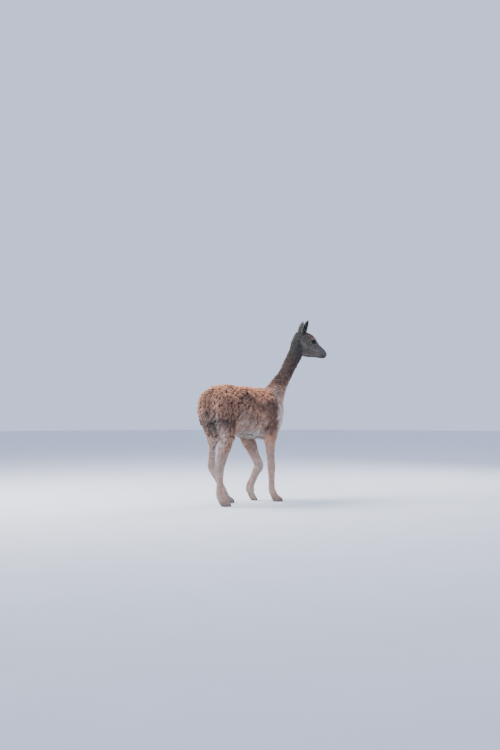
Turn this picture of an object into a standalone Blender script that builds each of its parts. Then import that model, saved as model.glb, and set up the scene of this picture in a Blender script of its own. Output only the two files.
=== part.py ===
"""A vicuna as a life-size still model: flesh, ears, eyes and nails as closed solids.

Metres. While it is built, +X is the way the body faces, +Y is its left side and +Z is up; the
last step turns it to face -Y. The animal is paused in a walk: right legs upright, left hind
foot forward, left forefoot on the tips of its toes.
"""

import math

import bmesh
import bpy
import numpy as np
from mathutils import Matrix, Vector
from mathutils.bvhtree import BVHTree

# The floor point under the middle of the model's box, in body coordinates
frameOrigin = Vector((0.1448, -0.0010, 0.0))

# Seams between nodes
seamGap = 0.0003
farAway = 3.0

neckSeam = Vector((0.315, 0.0, 0.820))
neckNormal = Vector((0.36, 0.0, 0.93)).normalized()

# Resolution of the solids
ringSides = 20
stepsBetween = 4
fleshVoxel = 0.009
fleshSmoothing = 5
fleshTriangles = 2500

# Trunk, from rump to chest: x, top, bottom, widest level, half width, coat depth
trunkRows = [
    (-0.384, 0.770, 0.655, 0.712, 0.050, 0.010),
    (-0.364, 0.820, 0.590, 0.700, 0.105, 0.022),
    (-0.318, 0.857, 0.540, 0.690, 0.144, 0.030),
    (-0.250, 0.873, 0.512, 0.680, 0.162, 0.030),
    (-0.170, 0.875, 0.496, 0.670, 0.166, 0.030),
    (-0.080, 0.869, 0.472, 0.660, 0.172, 0.030),
    (0.010, 0.862, 0.457, 0.655, 0.174, 0.030),
    (0.095, 0.855, 0.450, 0.655, 0.170, 0.030),
    (0.170, 0.850, 0.455, 0.658, 0.158, 0.030),
    (0.235, 0.846, 0.472, 0.665, 0.140, 0.028),
    (0.283, 0.830, 0.500, 0.670, 0.112, 0.024),
    (0.318, 0.780, 0.560, 0.675, 0.070, 0.016),
]

# Neck, from head to chest: x, y, z, half fore, half back, half side, yaw, coat depth
neckRows = [
    (0.548, -0.038, 1.232, 0.042, 0.060, 0.046, -33, 0.003),
    (0.538, -0.028, 1.180, 0.058, 0.067, 0.051, -28, 0.005),
    (0.513, -0.019, 1.110, 0.060, 0.066, 0.053, -20, 0.009),
    (0.467, -0.011, 1.030, 0.057, 0.063, 0.055, -13, 0.011),
    (0.413, -0.004, 0.945, 0.057, 0.060, 0.057, -6, 0.012),
    (0.353, 0.000, 0.865, 0.066, 0.074, 0.067, 0, 0.014),
    (0.290, 0.000, 0.785, 0.088, 0.100, 0.086, 0, 0.024),
    (0.235, 0.000, 0.715, 0.090, 0.110, 0.095, 0, 0.024),
]

# Tail, from its root: x, y, z, half fore, half back, half side, yaw, coat depth
tailRows = [
    (-0.335, 0.000, 0.806, 0.028, 0.026, 0.034, 0, 0.010),
    (-0.368, -0.006, 0.790, 0.032, 0.028, 0.042, 0, 0.012),
    (-0.392, -0.014, 0.745, 0.030, 0.026, 0.047, 0, 0.009),
    (-0.396, -0.018, 0.685, 0.028, 0.025, 0.047, 0, 0.009),
    (-0.389, -0.018, 0.625, 0.022, 0.020, 0.037, 0, 0.007),
    (-0.380, -0.016, 0.572, 0.009, 0.008, 0.013, 0, 0.005),
]

# Joints of each leg, from the top: x, y, z
hindRight = [
    (-0.262, -0.086, 0.720),
    (-0.262, -0.096, 0.530),
    (-0.326, -0.090, 0.280),
    (-0.328, -0.090, 0.092),
    (-0.310, -0.090, 0.050),
]
hindLeft = [
    (-0.275, 0.086, 0.720),
    (-0.228, 0.096, 0.530),
    (-0.250, 0.086, 0.278),
    (-0.148, 0.084, 0.100),
    (-0.120, 0.084, 0.050),
]
foreRight = [
    (0.205, -0.090, 0.640),
    (0.165, -0.090, 0.480),
    (0.182, -0.088, 0.256),
    (0.188, -0.088, 0.092),
    (0.209, -0.088, 0.050),
]
foreLeft = [
    (0.200, 0.090, 0.640),
    (0.108, 0.090, 0.475),
    (0.220, 0.086, 0.258),
    (0.128, 0.084, 0.110),
    (0.130, 0.084, 0.070),
]

# Girth down a leg: joint number and share of the way on, half fore, half back, half side, coat depth
hindGirth = [
    (0.00, 0.118, 0.112, 0.078, 0.030),
    (0.50, 0.116, 0.108, 0.080, 0.030),
    (1.00, 0.084, 0.080, 0.062, 0.022),
    (1.25, 0.070, 0.060, 0.052, 0.016),
    (1.50, 0.058, 0.050, 0.043, 0.010),
    (1.75, 0.043, 0.044, 0.034, 0.006),
    (2.00, 0.036, 0.043, 0.030, 0.004),
    (2.25, 0.029, 0.033, 0.026, 0.003),
    (2.60, 0.025, 0.026, 0.0220, 0.003),
    (3.00, 0.028, 0.030, 0.026, 0.003),
    (4.00, 0.028, 0.030, 0.028, 0.003),
]
foreGirth = [
    (0.00, 0.080, 0.085, 0.058, 0.024),
    (0.50, 0.075, 0.080, 0.056, 0.022),
    (1.00, 0.056, 0.060, 0.046, 0.016),
    (1.30, 0.043, 0.045, 0.038, 0.010),
    (1.65, 0.032, 0.034, 0.029, 0.005),
    (2.00, 0.033, 0.029, 0.030, 0.004),
    (2.30, 0.0270, 0.0275, 0.0240, 0.003),
    (2.65, 0.0240, 0.0250, 0.0220, 0.003),
    (3.00, 0.026, 0.027, 0.0250, 0.003),
    (4.00, 0.027, 0.028, 0.028, 0.003),
]
# The far hind leg is slimmer down to its hock
hindLeftGirth = [
    (0.00, 0.118, 0.114, 0.078, 0.030),
    (0.50, 0.116, 0.110, 0.080, 0.030),
    (1.00, 0.082, 0.076, 0.060, 0.022),
    (1.22, 0.054, 0.050, 0.044, 0.014),
    (1.45, 0.031, 0.030, 0.026, 0.007),
    (1.75, 0.028, 0.030, 0.0235, 0.004),
    (2.00, 0.030, 0.036, 0.026, 0.003),
    *hindGirth[7:],
]
raisedGrowth = 1.18  # how much thicker the coat of the bent leg looks

# Toes, two to a foot: forward and downward steps from the toe's root, half height, half width
toeSpread = 0.0150
toeSplay = 0.05
flatToe = [
    (-0.006, 0.004, 0.030, 0.0150),
    (0.016, -0.022, 0.030, 0.0155),
    (0.038, -0.031, 0.023, 0.0145),
    (0.056, -0.036, 0.018, 0.0125),
]
tipToe = [
    (-0.006, 0.004, 0.028, 0.0150),
    (0.010, -0.022, 0.026, 0.0155),
    (0.026, -0.045, 0.021, 0.0145),
    (0.038, -0.057, 0.017, 0.0125),
]
nailLength = 0.017
nailRows = [(0.0, 0.90), (0.45, 0.80), (1.0, 0.22)]  # share of the length, share of the toe's end
nailDrop = 0.75  # how far a nail's tip drops, in half heights of the toe's end

# Where each leg parts from the trunk: two corners of a box about the leg
legZones = {
    "hind_leg_right": ((-0.70, -0.40, -0.10), (-0.110, 0.00, 0.445)),
    "hind_leg_left": ((-0.70, 0.00, -0.10), (-0.080, 0.40, 0.445)),
    "fore_leg_right": ((0.05, -0.40, -0.10), (0.45, 0.00, 0.440)),
    "fore_leg_left": ((0.03, 0.00, -0.10), (0.45, 0.40, 0.440)),
}

# Head: the point between the eyes, and how the head is held
headMiddle = Vector((0.6246, -0.083, 1.198))
headYaw = math.radians(-35)
headPitch = math.radians(-24)

# Head, from poll to lips: distance ahead of the eyes, top, bottom, widest level, half width
headRows = [
    (-0.126, 0.010, -0.056, -0.018, 0.028),
    (-0.110, 0.036, -0.092, -0.024, 0.046),
    (-0.082, 0.053, -0.120, -0.028, 0.054),
    (-0.048, 0.057, -0.131, -0.032, 0.057),
    (-0.015, 0.052, -0.130, -0.034, 0.055),
    (0.015, 0.038, -0.121, -0.037, 0.048),
    (0.042, 0.017, -0.110, -0.042, 0.040),
    (0.068, 0.004, -0.100, -0.046, 0.034),
    (0.094, -0.006, -0.092, -0.049, 0.030),
    (0.116, -0.014, -0.086, -0.051, 0.0275),
    (0.131, -0.024, -0.079, -0.052, 0.0240),
    (0.141, -0.035, -0.070, -0.052, 0.0175),
    (0.146, -0.045, -0.060, -0.052, 0.008),
]
headSeamPoint = (-0.085, -0.138)  # distance ahead of the eyes and height above them, level with the floor
headSeamTilt = math.radians(62)  # how far the way across the seam rises from level

# Eyes, lids, nostrils and mouth, in the head's own directions: ahead, left, up
eyeCentre = Vector((0.0, 0.0335, 0.0))
eyeRadius = 0.0210
eyeLook = Vector((0.34, 1.0, 0.06))
lidHalfWidth = math.radians(48)
lidHalfHeight = math.radians(31)
lidThickness = 0.0028
lidBeads = 12
lidSides = 5
browCentre = Vector((-0.004, 0.0335, 0.0195))
browSize = Vector((0.027, 0.014, 0.0075))
nostrilCentre = Vector((0.1330, 0.0150, -0.0370))
nostrilSize = Vector((0.0090, 0.0060, 0.0032))
nostrilTilt = math.radians(38)
mouthMiddle = 0.098  # how far ahead of the eyes the mouth line's centre lies
mouthReach = math.radians(98)
mouthFront = -0.0600
mouthCorner = -0.0730
mouthHeight = 0.0024
mouthDepth = 0.0045
mouthSteps = 22

# Ears: base and tip from the point between the eyes, level with the floor: ahead, left, up
earBase = {"left": Vector((-0.091, 0.036, 0.046)), "right": Vector((-0.076, -0.036, 0.046))}
earTip = {"left": Vector((-0.060, 0.050, 0.161)), "right": Vector((-0.040, -0.050, 0.163))}
earOpening = {"left": Vector((0.45, 0.90, 0.0)), "right": Vector((0.35, -0.94, 0.0))}
earHalfWidth = 0.0220
earThickness = 0.0034
earRows = [  # share of the way up, share of the half width
    (-0.20, 0.60),
    (-0.03, 0.74),
    (0.14, 0.92),
    (0.34, 1.00),
    (0.56, 0.95),
    (0.76, 0.74),
    (0.90, 0.45),
    (1.00, 0.12),
]
earSolidBelow = 0.05  # below this share of the way up, the ear is solid
earCurl = math.radians(118)  # how far the wall turns to each side
earPoints = 7
earHollow = 0.010  # how far the middle of the ear bends back


# Coat: a fleece of rounded clumps above, and hanging locks on bib, flanks, belly and tail
coatSeed = 11
coatTries = 5000
clumpSides = 6
clumpSink = 0.014
clumpHeights = ([-0.40, -0.34, 0.27, 0.32], [0.020, 0.030, 0.030, 0.022])  # along the trunk
neckClumpHeights = ([0.80, 0.95, 1.15], [0.018, 0.014, 0.009])  # by height
torsoClump = (0.091, 0.077, 0.060)  # spacing, half length, half width
neckClump = (0.052, 0.050, 0.036)
fringeLine = 0.560  # below this height the trunk carries locks
bibFront = 0.215  # the bib is ahead of this
bibHalfWidth = 0.105
bibTop = 0.790
bibLock = (0.052, 0.120, 0.030)  # spacing, length, half width
fringeLock = (0.062, 0.100, 0.034)
tailLock = (0.040, 0.090, 0.023)
lockThickness = 0.0065
lockSink = 0.012
lowestCoat = 0.447  # the trunk's coat ends just above the legs' seams
seamMargin = 0.024  # no form is rooted nearer than this to the neck's seams


def clearScene():
    for item in list(bpy.data.objects):
        bpy.data.objects.remove(item)


def material(name, colour, roughness):
    made = bpy.data.materials.new(name)
    made.use_nodes = True
    shader = made.node_tree.nodes["Principled BSDF"]
    shader.inputs["Base Color"].default_value = (*colour, 1.0)
    shader.inputs["Roughness"].default_value = roughness
    shader.inputs["Metallic"].default_value = 0.0
    return made


def smoothRows(rows, steps):
    """Rows of numbers with a Catmull-Rom curve drawn through each column."""
    rows = np.array(rows, float)
    ends = np.vstack([2 * rows[0] - rows[1], rows, 2 * rows[-1] - rows[-2]])
    made = []
    for i in range(len(rows) - 1):
        a, b, c, d = ends[i : i + 4]
        for k in range(steps):
            t = k / steps
            bend = (2 * a - 5 * b + 4 * c - d) * t * t + (3 * b - a - 3 * c + d) * t**3
            made.append(0.5 * (2 * b + (c - a) * t + bend))
    made.append(rows[-1])
    return np.array(made)


def roundRing(centre, up, side, halfUp, halfDown, halfSide, sides, power=2.2):
    """Points of one cross-section: a rounded form with its own height above and below the centre."""
    ring = []
    for k in range(sides):
        turn = 2 * math.pi * k / sides
        c, s = math.cos(turn), math.sin(turn)
        rise = math.copysign(abs(c) ** (2 / power), c) * (halfUp if c > 0 else halfDown)
        reach = math.copysign(abs(s) ** (2 / power), s) * halfSide
        ring.append(centre + up * rise + side * reach)
    return ring


def loft(name, rings, aboveFloor=False):
    """A closed skin over rings of equal count, with a fan at each end."""
    if aboveFloor:
        rings = [[Vector((p.x, p.y, max(p.z, 0.0))) for p in ring] for ring in rings]
    shape = bmesh.new()
    rows = [[shape.verts.new(p) for p in ring] for ring in rings]
    count = len(rows[0])
    for low, high in zip(rows, rows[1:]):
        for k in range(count):
            shape.faces.new((low[k], low[(k + 1) % count], high[(k + 1) % count], high[k]))
    for row in (rows[0], rows[-1]):
        middle = shape.verts.new(sum((v.co for v in row), Vector()) / count)
        for k in range(count):
            shape.faces.new((row[k], row[(k + 1) % count], middle))
    bmesh.ops.recalc_face_normals(shape, faces=shape.faces)
    return objectOf(name, shape)


def objectOf(name, shape):
    mesh = bpy.data.meshes.new(name)
    shape.to_mesh(mesh)
    shape.free()
    made = bpy.data.objects.new(name, mesh)
    bpy.context.scene.collection.objects.link(made)
    return made


def shrunk(half, coat):
    return max(half - coat, 0.3 * half)


def sweep(name, rows, sides=ringSides, coatShare=0.0, aboveFloor=False):
    """A limb from rows of x, y, z, half fore, half back, half side, yaw in degrees and coat depth."""
    rows = smoothRows(rows, stepsBetween)
    centres = [Vector(row[:3]) for row in rows]
    rings = []
    for i, row in enumerate(rows):
        along = (centres[min(i + 1, len(rows) - 1)] - centres[max(i - 1, 0)]).normalized()
        yaw = math.radians(row[6])
        side = Vector((-math.sin(yaw), math.cos(yaw), 0))
        side = (side - along * side.dot(along)).normalized()
        fore = along.cross(side)
        coat = row[7] * coatShare
        sizes = [shrunk(half, coat) for half in row[3:6]]
        rings.append(roundRing(centres[i], fore, side, *sizes, sides))
    return loft(name, rings, aboveFloor)


def legRows(joints, girth, growth=1.0):
    """Rows for sweep() from a leg's joints and the girths down it."""
    rows = []
    for where, *halves, coat in girth:
        fore, back, side = (half * growth for half in halves)
        i = min(int(where), len(joints) - 2)
        point = Vector(joints[i]).lerp(Vector(joints[i + 1]), where - i)
        rows.append((*point, fore, back, side, 0, coat))
    return rows


def trunk(coatShare):
    rings = []
    for x, top, bottom, level, half, coat in smoothRows(trunkRows, stepsBetween):
        coat *= coatShare
        rings.append(
            roundRing(
                Vector((x, 0, level)),
                Vector((0, 0, 1)),
                Vector((0, 1, 0)),
                shrunk(top - level, coat),
                shrunk(level - bottom, coat),
                shrunk(half, coat),
                ringSides,
                power=2.25,
            )
        )
    return loft("trunk", rings)


def evaluated(item):
    """Applies an object's modifiers to its mesh."""
    bpy.context.view_layer.update()
    graph = bpy.context.evaluated_depsgraph_get()
    mesh = bpy.data.meshes.new_from_object(item.evaluated_get(graph))
    item.modifiers.clear()
    item.data = mesh
    return item


def boolean(item, others, operation):
    """Joins others to item, cuts them from it or keeps what they share, and removes them."""
    group = bpy.data.collections.new("operands")
    for other in others:
        group.objects.link(other)
    step = item.modifiers.new(operation.lower(), "BOOLEAN")
    step.operation = operation
    step.solver = "MANIFOLD"
    step.operand_type = "COLLECTION"
    step.collection = group
    evaluated(item)
    for other in others:
        bpy.data.objects.remove(other)
    bpy.data.collections.remove(group)
    return item


def join(items, name):
    """One object that holds the meshes of several, still overlapping."""
    shape = bmesh.new()
    for item in items:
        shape.from_mesh(item.data)
        bpy.data.objects.remove(item)
    return objectOf(name, shape)


def copyOf(item, name):
    made = bpy.data.objects.new(name, item.data.copy())
    bpy.context.scene.collection.objects.link(made)
    return made


def halfSpace(point, normal):
    """A large box that fills the side of a plane that its normal points to."""
    shape = bmesh.new()
    bmesh.ops.create_cube(shape, size=2 * farAway)
    turn = Vector((0, 0, 1)).rotation_difference(normal.normalized()).to_matrix().to_4x4()
    place = Matrix.Translation(point) @ turn @ Matrix.Translation((0, 0, farAway))
    shape.transform(place)
    return objectOf("half_space", shape)


def block(low, high):
    """A box between two corners."""
    shape = bmesh.new()
    bmesh.ops.create_cube(shape, size=1.0)
    size = Vector(high) - Vector(low)
    place = Matrix.Translation((Vector(low) + Vector(high)) / 2) @ Matrix.Diagonal((*size, 1.0))
    shape.transform(place)
    return objectOf("block", shape)


def grown(item, gap):
    """A copy of item with its surface moved out by the gap."""
    made = copyOf(item, "grown")
    shape = bmesh.new()
    shape.from_mesh(made.data)
    shape.normal_update()
    moves = [v.normal * gap * 1.25 for v in shape.verts]
    for v, move in zip(shape.verts, moves):
        v.co += move
    shape.to_mesh(made.data)
    shape.free()
    return made


def largest(item):
    """Keeps the largest closed surface of a node."""
    shape = bmesh.new()
    shape.from_mesh(item.data)
    bmesh.ops.triangulate(shape, faces=shape.faces)
    shape.verts.ensure_lookup_table()
    left = set(shape.verts)
    groups = []
    while left:
        start = left.pop()
        group, edge = {start}, [start]
        while edge:
            for link in edge.pop().link_edges:
                for v in link.verts:
                    if v not in group:
                        group.add(v)
                        left.discard(v)
                        edge.append(v)
        groups.append(group)

    def volume(group):
        faces = {f for v in group for f in v.link_faces}
        return sum(f.verts[0].co.dot(f.verts[1].co.cross(f.verts[2].co)) for f in faces)

    keep = max(groups, key=volume)
    bmesh.ops.delete(shape, geom=[v for v in shape.verts if v not in keep], context="VERTS")
    shape.to_mesh(item.data)
    shape.free()
    return item


def seeds(item, choose, rng):
    """Places for the coat's forms, spread over a node; choose gives each place its form, or None."""
    mesh = item.data
    mesh.calc_loop_triangles()
    triangles = [[mesh.vertices[i].co.copy() for i in t.vertices] for t in mesh.loop_triangles]
    areas = np.array([(b - a).cross(c - a).length for a, b, c in triangles])
    kept = []
    for pick in rng.choice(len(triangles), coatTries, p=areas / areas.sum()):
        a, b, c = triangles[pick]
        u, v = rng.random(2)
        if u + v > 1:
            u, v = 1 - u, 1 - v
        point = a + (b - a) * u + (c - a) * v
        normal = (b - a).cross(c - a).normalized()
        form = choose(point, normal)
        if form is None:
            continue
        gap = form[1][0]
        if all((point - other).length > min(gap, space) for other, _, _, space in kept):
            kept.append((point, normal, form, gap))
    return kept


def lieAt(normal, lie):
    """The lie of the coat along a surface."""
    flat = lie - normal * lie.dot(normal)
    return flat.normalized()


def clump(point, normal, lie, sizes, height, rng):
    """A rounded tuft of fleece: a sunk ring, a shoulder and a crown that leans along the lie."""
    _, halfLong, halfWide = sizes
    along = lieAt(normal, lie)
    across = normal.cross(along)
    start = rng.uniform(0, math.pi)
    grow = rng.uniform(0.90, 1.12)
    shape = bmesh.new()
    rows = []
    for level, share, lean in ((-clumpSink, 1.0, 0.0), (0.74 * height, 0.60, 0.16)):
        row = []
        for k in range(clumpSides):
            turn = start + 2 * math.pi * k / clumpSides
            wave = grow * share * rng.uniform(0.93, 1.07)
            row.append(
                shape.verts.new(
                    point
                    + normal * level
                    + along * (math.cos(turn) * halfLong * wave + lean * halfLong)
                    + across * math.sin(turn) * halfWide * wave
                )
            )
        rows.append(row)
    for low, high in zip(rows, rows[1:]):
        for k in range(clumpSides):
            shape.faces.new((low[k], low[(k + 1) % clumpSides], high[(k + 1) % clumpSides], high[k]))
    shape.faces.new(rows[0])
    crown = shape.verts.new(point + normal * height * rng.uniform(0.96, 1.04) + along * 0.24 * halfLong)
    for k in range(clumpSides):
        shape.faces.new((rows[-1][k], rows[-1][(k + 1) % clumpSides], crown))
    bmesh.ops.triangulate(shape, faces=shape.faces)
    bmesh.ops.recalc_face_normals(shape, faces=shape.faces)
    return objectOf("clump", shape)


def lock(point, normal, lie, sizes, lift, rng):
    """A flat tapered lock that leaves the coat, bends down along its lie and ends in a point."""
    _, length, halfWide = sizes
    length *= rng.uniform(0.88, 1.12)
    halfWide *= rng.uniform(0.9, 1.1)
    sway = rng.uniform(-0.22, 0.22)
    across = normal.cross(lie).normalized()
    hang = (lie + across * sway).normalized()
    flat = lieAt(normal, hang)
    shape = bmesh.new()
    spine = []
    place = point - normal * lockSink
    for share, rise in ((0.0, 1.0), (0.30, 0.5), (0.66, -0.1), (1.0, 0.0)):
        spine.append((place.copy(), share))
        step = (flat + normal * lift * rise + hang * share).normalized()
        place = place + step * length * 0.36
    rows = []
    for (centre, share), wide, thick in zip(spine[:3], (0.75, 1.0, 0.72), (0.9, 1.0, 0.7)):
        curl = across * rng.uniform(-0.1, 0.1) * halfWide
        offsets = (
            across * halfWide * wide,
            normal * lockThickness * thick,
            -across * halfWide * wide,
            -normal * lockThickness * thick,
        )
        rows.append([shape.verts.new(centre + curl + offset) for offset in offsets])
    for low, high in zip(rows, rows[1:]):
        for k in range(4):
            shape.faces.new((low[k], low[(k + 1) % 4], high[(k + 1) % 4], high[k]))
    shape.faces.new(rows[0])
    tip = shape.verts.new(spine[3][0])
    for k in range(4):
        shape.faces.new((rows[-1][k], rows[-1][(k + 1) % 4], tip))
    bmesh.ops.triangulate(shape, faces=shape.faces)
    bmesh.ops.recalc_face_normals(shape, faces=shape.faces)
    return objectOf("lock", shape)


def fromPlane(point, place, normal):
    return (point - place).dot(normal)


def torsoForm(point, normal):
    """Clumps over back, sides, rump and thighs; locks on the bib and along the lower edge."""
    if point.z < lowestCoat + seamMargin / 2:
        return None
    if fromPlane(point, neckSeam, neckNormal) > -seamMargin:
        return None
    onBib = point.x > bibFront and abs(point.y) < bibHalfWidth and point.z < bibTop
    if onBib and normal.x > 0.25:
        return lock, bibLock, Vector((0.0, 0, -1)), 0.60
    if point.z < fringeLine:
        return lock, fringeLock, Vector((-0.45, 0, -1)), 0.60
    return clump, torsoClump, Vector((-0.8, 0, -0.6)), np.interp(point.x, *clumpHeights)


def neckForm(point, normal):
    if fromPlane(point, neckSeam, neckNormal) < seamMargin:
        return None
    if fromPlane(point, headSeam, headNormal) > -seamMargin:
        return None
    return clump, neckClump, Vector((-0.30, 0, -1)), np.interp(point.z, *neckClumpHeights)


def tailForm(point, normal):
    return lock, tailLock, Vector((-0.02, 0, -1)), 0.42


def dressed(item, choose, rng):
    """Grows the coat's forms on a node and fuses them with it."""
    forms = []
    for point, normal, (make, sizes, lie, size), _ in seeds(item, choose, rng):
        forms.append(make(point, normal, lie.normalized(), sizes, size, rng))
    print(item.name, "carries", len(forms), "forms")
    return boolean(item, forms, "UNION")


def flesh(coatShare):
    """Trunk, neck and legs blended into one skin and thinned to few faces."""
    parts = [
        trunk(coatShare),
        sweep("neck_form", neckRows, coatShare=coatShare),
        sweep("hind_right_form", legRows(hindRight, hindGirth), coatShare=coatShare),
        sweep("hind_left_form", legRows(hindLeft, hindLeftGirth), coatShare=coatShare),
        sweep("fore_right_form", legRows(foreRight, foreGirth), coatShare=coatShare),
        sweep("fore_left_form", legRows(foreLeft, foreGirth, raisedGrowth), coatShare=coatShare),
    ]
    body = join(parts, "flesh")
    remesh = body.modifiers.new("blend", "REMESH")
    remesh.mode = "VOXEL"
    remesh.voxel_size = fleshVoxel
    smooth = body.modifiers.new("soften", "SMOOTH")
    smooth.iterations = fleshSmoothing
    evaluated(body)
    thin = body.modifiers.new("thin", "DECIMATE")
    thin.ratio = fleshTriangles / (2 * len(body.data.polygons))
    return evaluated(body)


headAlong = Vector((math.cos(headYaw), math.sin(headYaw), 0))
headLeft = Vector((-math.sin(headYaw), math.cos(headYaw), 0))
headNose = headAlong * math.cos(headPitch) + Vector((0, 0, math.sin(headPitch)))
headCrown = Vector((0, 0, math.cos(headPitch))) - headAlong * math.sin(headPitch)


def inHead(ahead, left, up):
    """A point from the head's own directions, ahead along the face."""
    return headMiddle + headNose * ahead + headLeft * left + headCrown * up


def inLevel(offset):
    """A point from the eyes with ahead and up level with the floor."""
    return headMiddle + headAlong * offset.x + headLeft * offset.y + Vector((0, 0, offset.z))


headSeam = inLevel(Vector((headSeamPoint[0], 0, headSeamPoint[1])))
headNormal = headAlong * math.cos(headSeamTilt) + Vector((0, 0, math.sin(headSeamTilt)))


def headForm():
    rings = []
    for ahead, top, bottom, level, half in smoothRows(headRows, 2):
        centre = inHead(ahead, 0, level)
        rings.append(roundRing(centre, headCrown, headLeft, top - level, level - bottom, half, 18))
    return loft("head_form", rings)


def egg(name, centre, size, axes, turn=0.0, rings=5, sides=8):
    """A ball with three half sizes, set along three axes and turned about the second."""
    shape = bmesh.new()
    bmesh.ops.create_uvsphere(shape, u_segments=sides, v_segments=rings, radius=1.0)
    frame = Matrix((axes[0], axes[1], axes[2])).transposed().to_4x4()
    tilt = Matrix.Rotation(turn, 4, "Y")
    shape.transform(Matrix.Translation(centre) @ frame @ tilt @ Matrix.Diagonal((*size, 1.0)))
    return objectOf(name, shape)


headAxes = (headNose, headLeft, headCrown)


def eyeball(side):
    centre = inHead(eyeCentre.x, side * eyeCentre.y, eyeCentre.z)
    return egg("eyeball", centre, Vector((eyeRadius,) * 3), headAxes, rings=8, sides=12)


def lidRing(side):
    """The rim of both lids: a round bead along an almond outline on the eyeball."""
    centre = inHead(eyeCentre.x, side * eyeCentre.y, eyeCentre.z)
    look = (headNose * eyeLook.x + headLeft * side * eyeLook.y + headCrown * eyeLook.z).normalized()
    across = (headNose - look * headNose.dot(look)).normalized()
    upward = across.cross(look) * (1 if across.cross(look).dot(headCrown) > 0 else -1)
    rings = []
    for i in range(lidBeads):
        turn = 2 * math.pi * i / lidBeads
        wide = lidHalfWidth * math.cos(turn)
        high = lidHalfHeight * math.sin(turn) * (1 - 0.25 * math.cos(turn) ** 2)
        outward = (look + across * math.tan(wide) + upward * math.tan(high)).normalized()
        rings.append((centre + outward * (eyeRadius + 0.0004), outward))
    shape = bmesh.new()
    rows = []
    for i, (point, outward) in enumerate(rings):
        along = (rings[(i + 1) % lidBeads][0] - rings[i - 1][0]).normalized()
        flat = along.cross(outward)
        row = []
        for k in range(lidSides):
            spin = 2 * math.pi * k / lidSides
            offset = outward * math.cos(spin) + flat * 1.5 * math.sin(spin)
            row.append(shape.verts.new(point + offset * lidThickness))
        rows.append(row)
    for i in range(lidBeads):
        low, high = rows[i], rows[(i + 1) % lidBeads]
        for k in range(lidSides):
            shape.faces.new((low[k], low[(k + 1) % lidSides], high[(k + 1) % lidSides], high[k]))
    bmesh.ops.recalc_face_normals(shape, faces=shape.faces)
    return objectOf("lid_ring", shape)


def mouthCut(head):
    """A thin groove round the front of the muzzle, which leaves the line of the mouth."""
    shape = bmesh.new()
    shape.from_mesh(head.data)
    surface = BVHTree.FromBMesh(shape)
    shape.free()
    rows = []
    for i in range(mouthSteps + 1):
        share = 2 * i / mouthSteps - 1
        turn = share * mouthReach
        level = mouthFront + (mouthCorner - mouthFront) * share * share
        middle = inHead(mouthMiddle, 0, level)
        outward = headNose * math.cos(turn) + headLeft * math.sin(turn)
        hit = surface.ray_cast(middle + outward * 0.2, -outward)[0]
        fade = 1 - abs(share) ** 6 * 0.8
        inner = hit - outward * mouthDepth * fade
        outer = hit + outward * mouthDepth
        lift = headCrown * mouthHeight * fade
        rows.append([inner, outer + lift, outer - lift])
    cutter = bmesh.new()
    rows = [[cutter.verts.new(p) for p in row] for row in rows]
    for low, high in zip(rows, rows[1:]):
        for k in range(3):
            cutter.faces.new((low[k], low[(k + 1) % 3], high[(k + 1) % 3], high[k]))
    cutter.faces.new(rows[0])
    cutter.faces.new(rows[-1])
    bmesh.ops.triangulate(cutter, faces=cutter.faces)
    bmesh.ops.recalc_face_normals(cutter, faces=cutter.faces)
    return objectOf("mouth_cut", cutter)


def ear(side):
    """A cupped ear: a curved wall round a hollow that opens to one side, on a solid root."""
    base, tip = inLevel(earBase[side]), inLevel(earTip[side])
    upward = (tip - base).normalized()
    opening = headAlong * earOpening[side].x + headLeft * earOpening[side].y
    opening = (opening - upward * opening.dot(upward)).normalized()
    across = upward.cross(opening)
    length = (tip - base).length
    shape = bmesh.new()
    outer, inner = [], []
    for level, share in earRows:
        radius = earHalfWidth * share
        bend = opening * earHollow * math.sin(math.pi * max(level, 0))
        middle = base + upward * level * length - bend
        hollow = min(earThickness, radius * 0.75) if level > earSolidBelow else radius * 0.97
        rowOut, rowIn = [], []
        for k in range(earPoints):
            turn = earCurl * (2 * k / (earPoints - 1) - 1)
            spoke = across * math.sin(turn) - opening * math.cos(turn) * 0.85
            rowOut.append(shape.verts.new(middle + spoke * radius))
            rowIn.append(shape.verts.new(middle + spoke * (radius - hollow)))
        outer.append(rowOut)
        inner.append(rowIn)
    for i in range(len(earRows) - 1):
        for k in range(earPoints - 1):
            shape.faces.new((outer[i][k], outer[i][k + 1], outer[i + 1][k + 1], outer[i + 1][k]))
            shape.faces.new((inner[i][k], inner[i + 1][k], inner[i + 1][k + 1], inner[i][k + 1]))
        for k in (0, earPoints - 1):
            shape.faces.new((outer[i][k], outer[i + 1][k], inner[i + 1][k], inner[i][k]))
    for i in (0, len(earRows) - 1):
        for k in range(earPoints - 1):
            shape.faces.new((outer[i][k], inner[i][k], inner[i][k + 1], outer[i][k + 1]))
    bmesh.ops.triangulate(shape, faces=shape.faces)
    bmesh.ops.recalc_face_normals(shape, faces=shape.faces)
    return objectOf("ear_" + side, shape)


def toes(joints, steps):
    """The two toes of a foot as closed forms that end in a flat face for the nail, and the two nails."""
    made, nails = [], []
    root, up = Vector(joints[-1]), Vector((0, 0, 1))
    for hand in (-1, 1):
        along = Vector((math.cos(hand * toeSplay), math.sin(hand * toeSplay), 0))
        side = Vector((-along.y, along.x, 0))
        start = root + Vector((0, hand * toeSpread, 0))
        rings = []
        for ahead, down, high, wide in steps:
            centre = start + along * ahead + up * down
            rings.append(roundRing(centre, up, side, high, high, wide, 10))
        made.append(loft("toe", rings, aboveFloor=True))
        nailRings = []
        for share, size in nailRows:
            drop = high * nailDrop * share**1.5
            place = centre + along * (seamGap * 1.2 + nailLength * share) - up * drop
            nailRings.append(roundRing(place, up, side, high * size, high * size, wide * size, 8))
        nails.append(loft("nail", nailRings, aboveFloor=True))
    return made, nails


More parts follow.
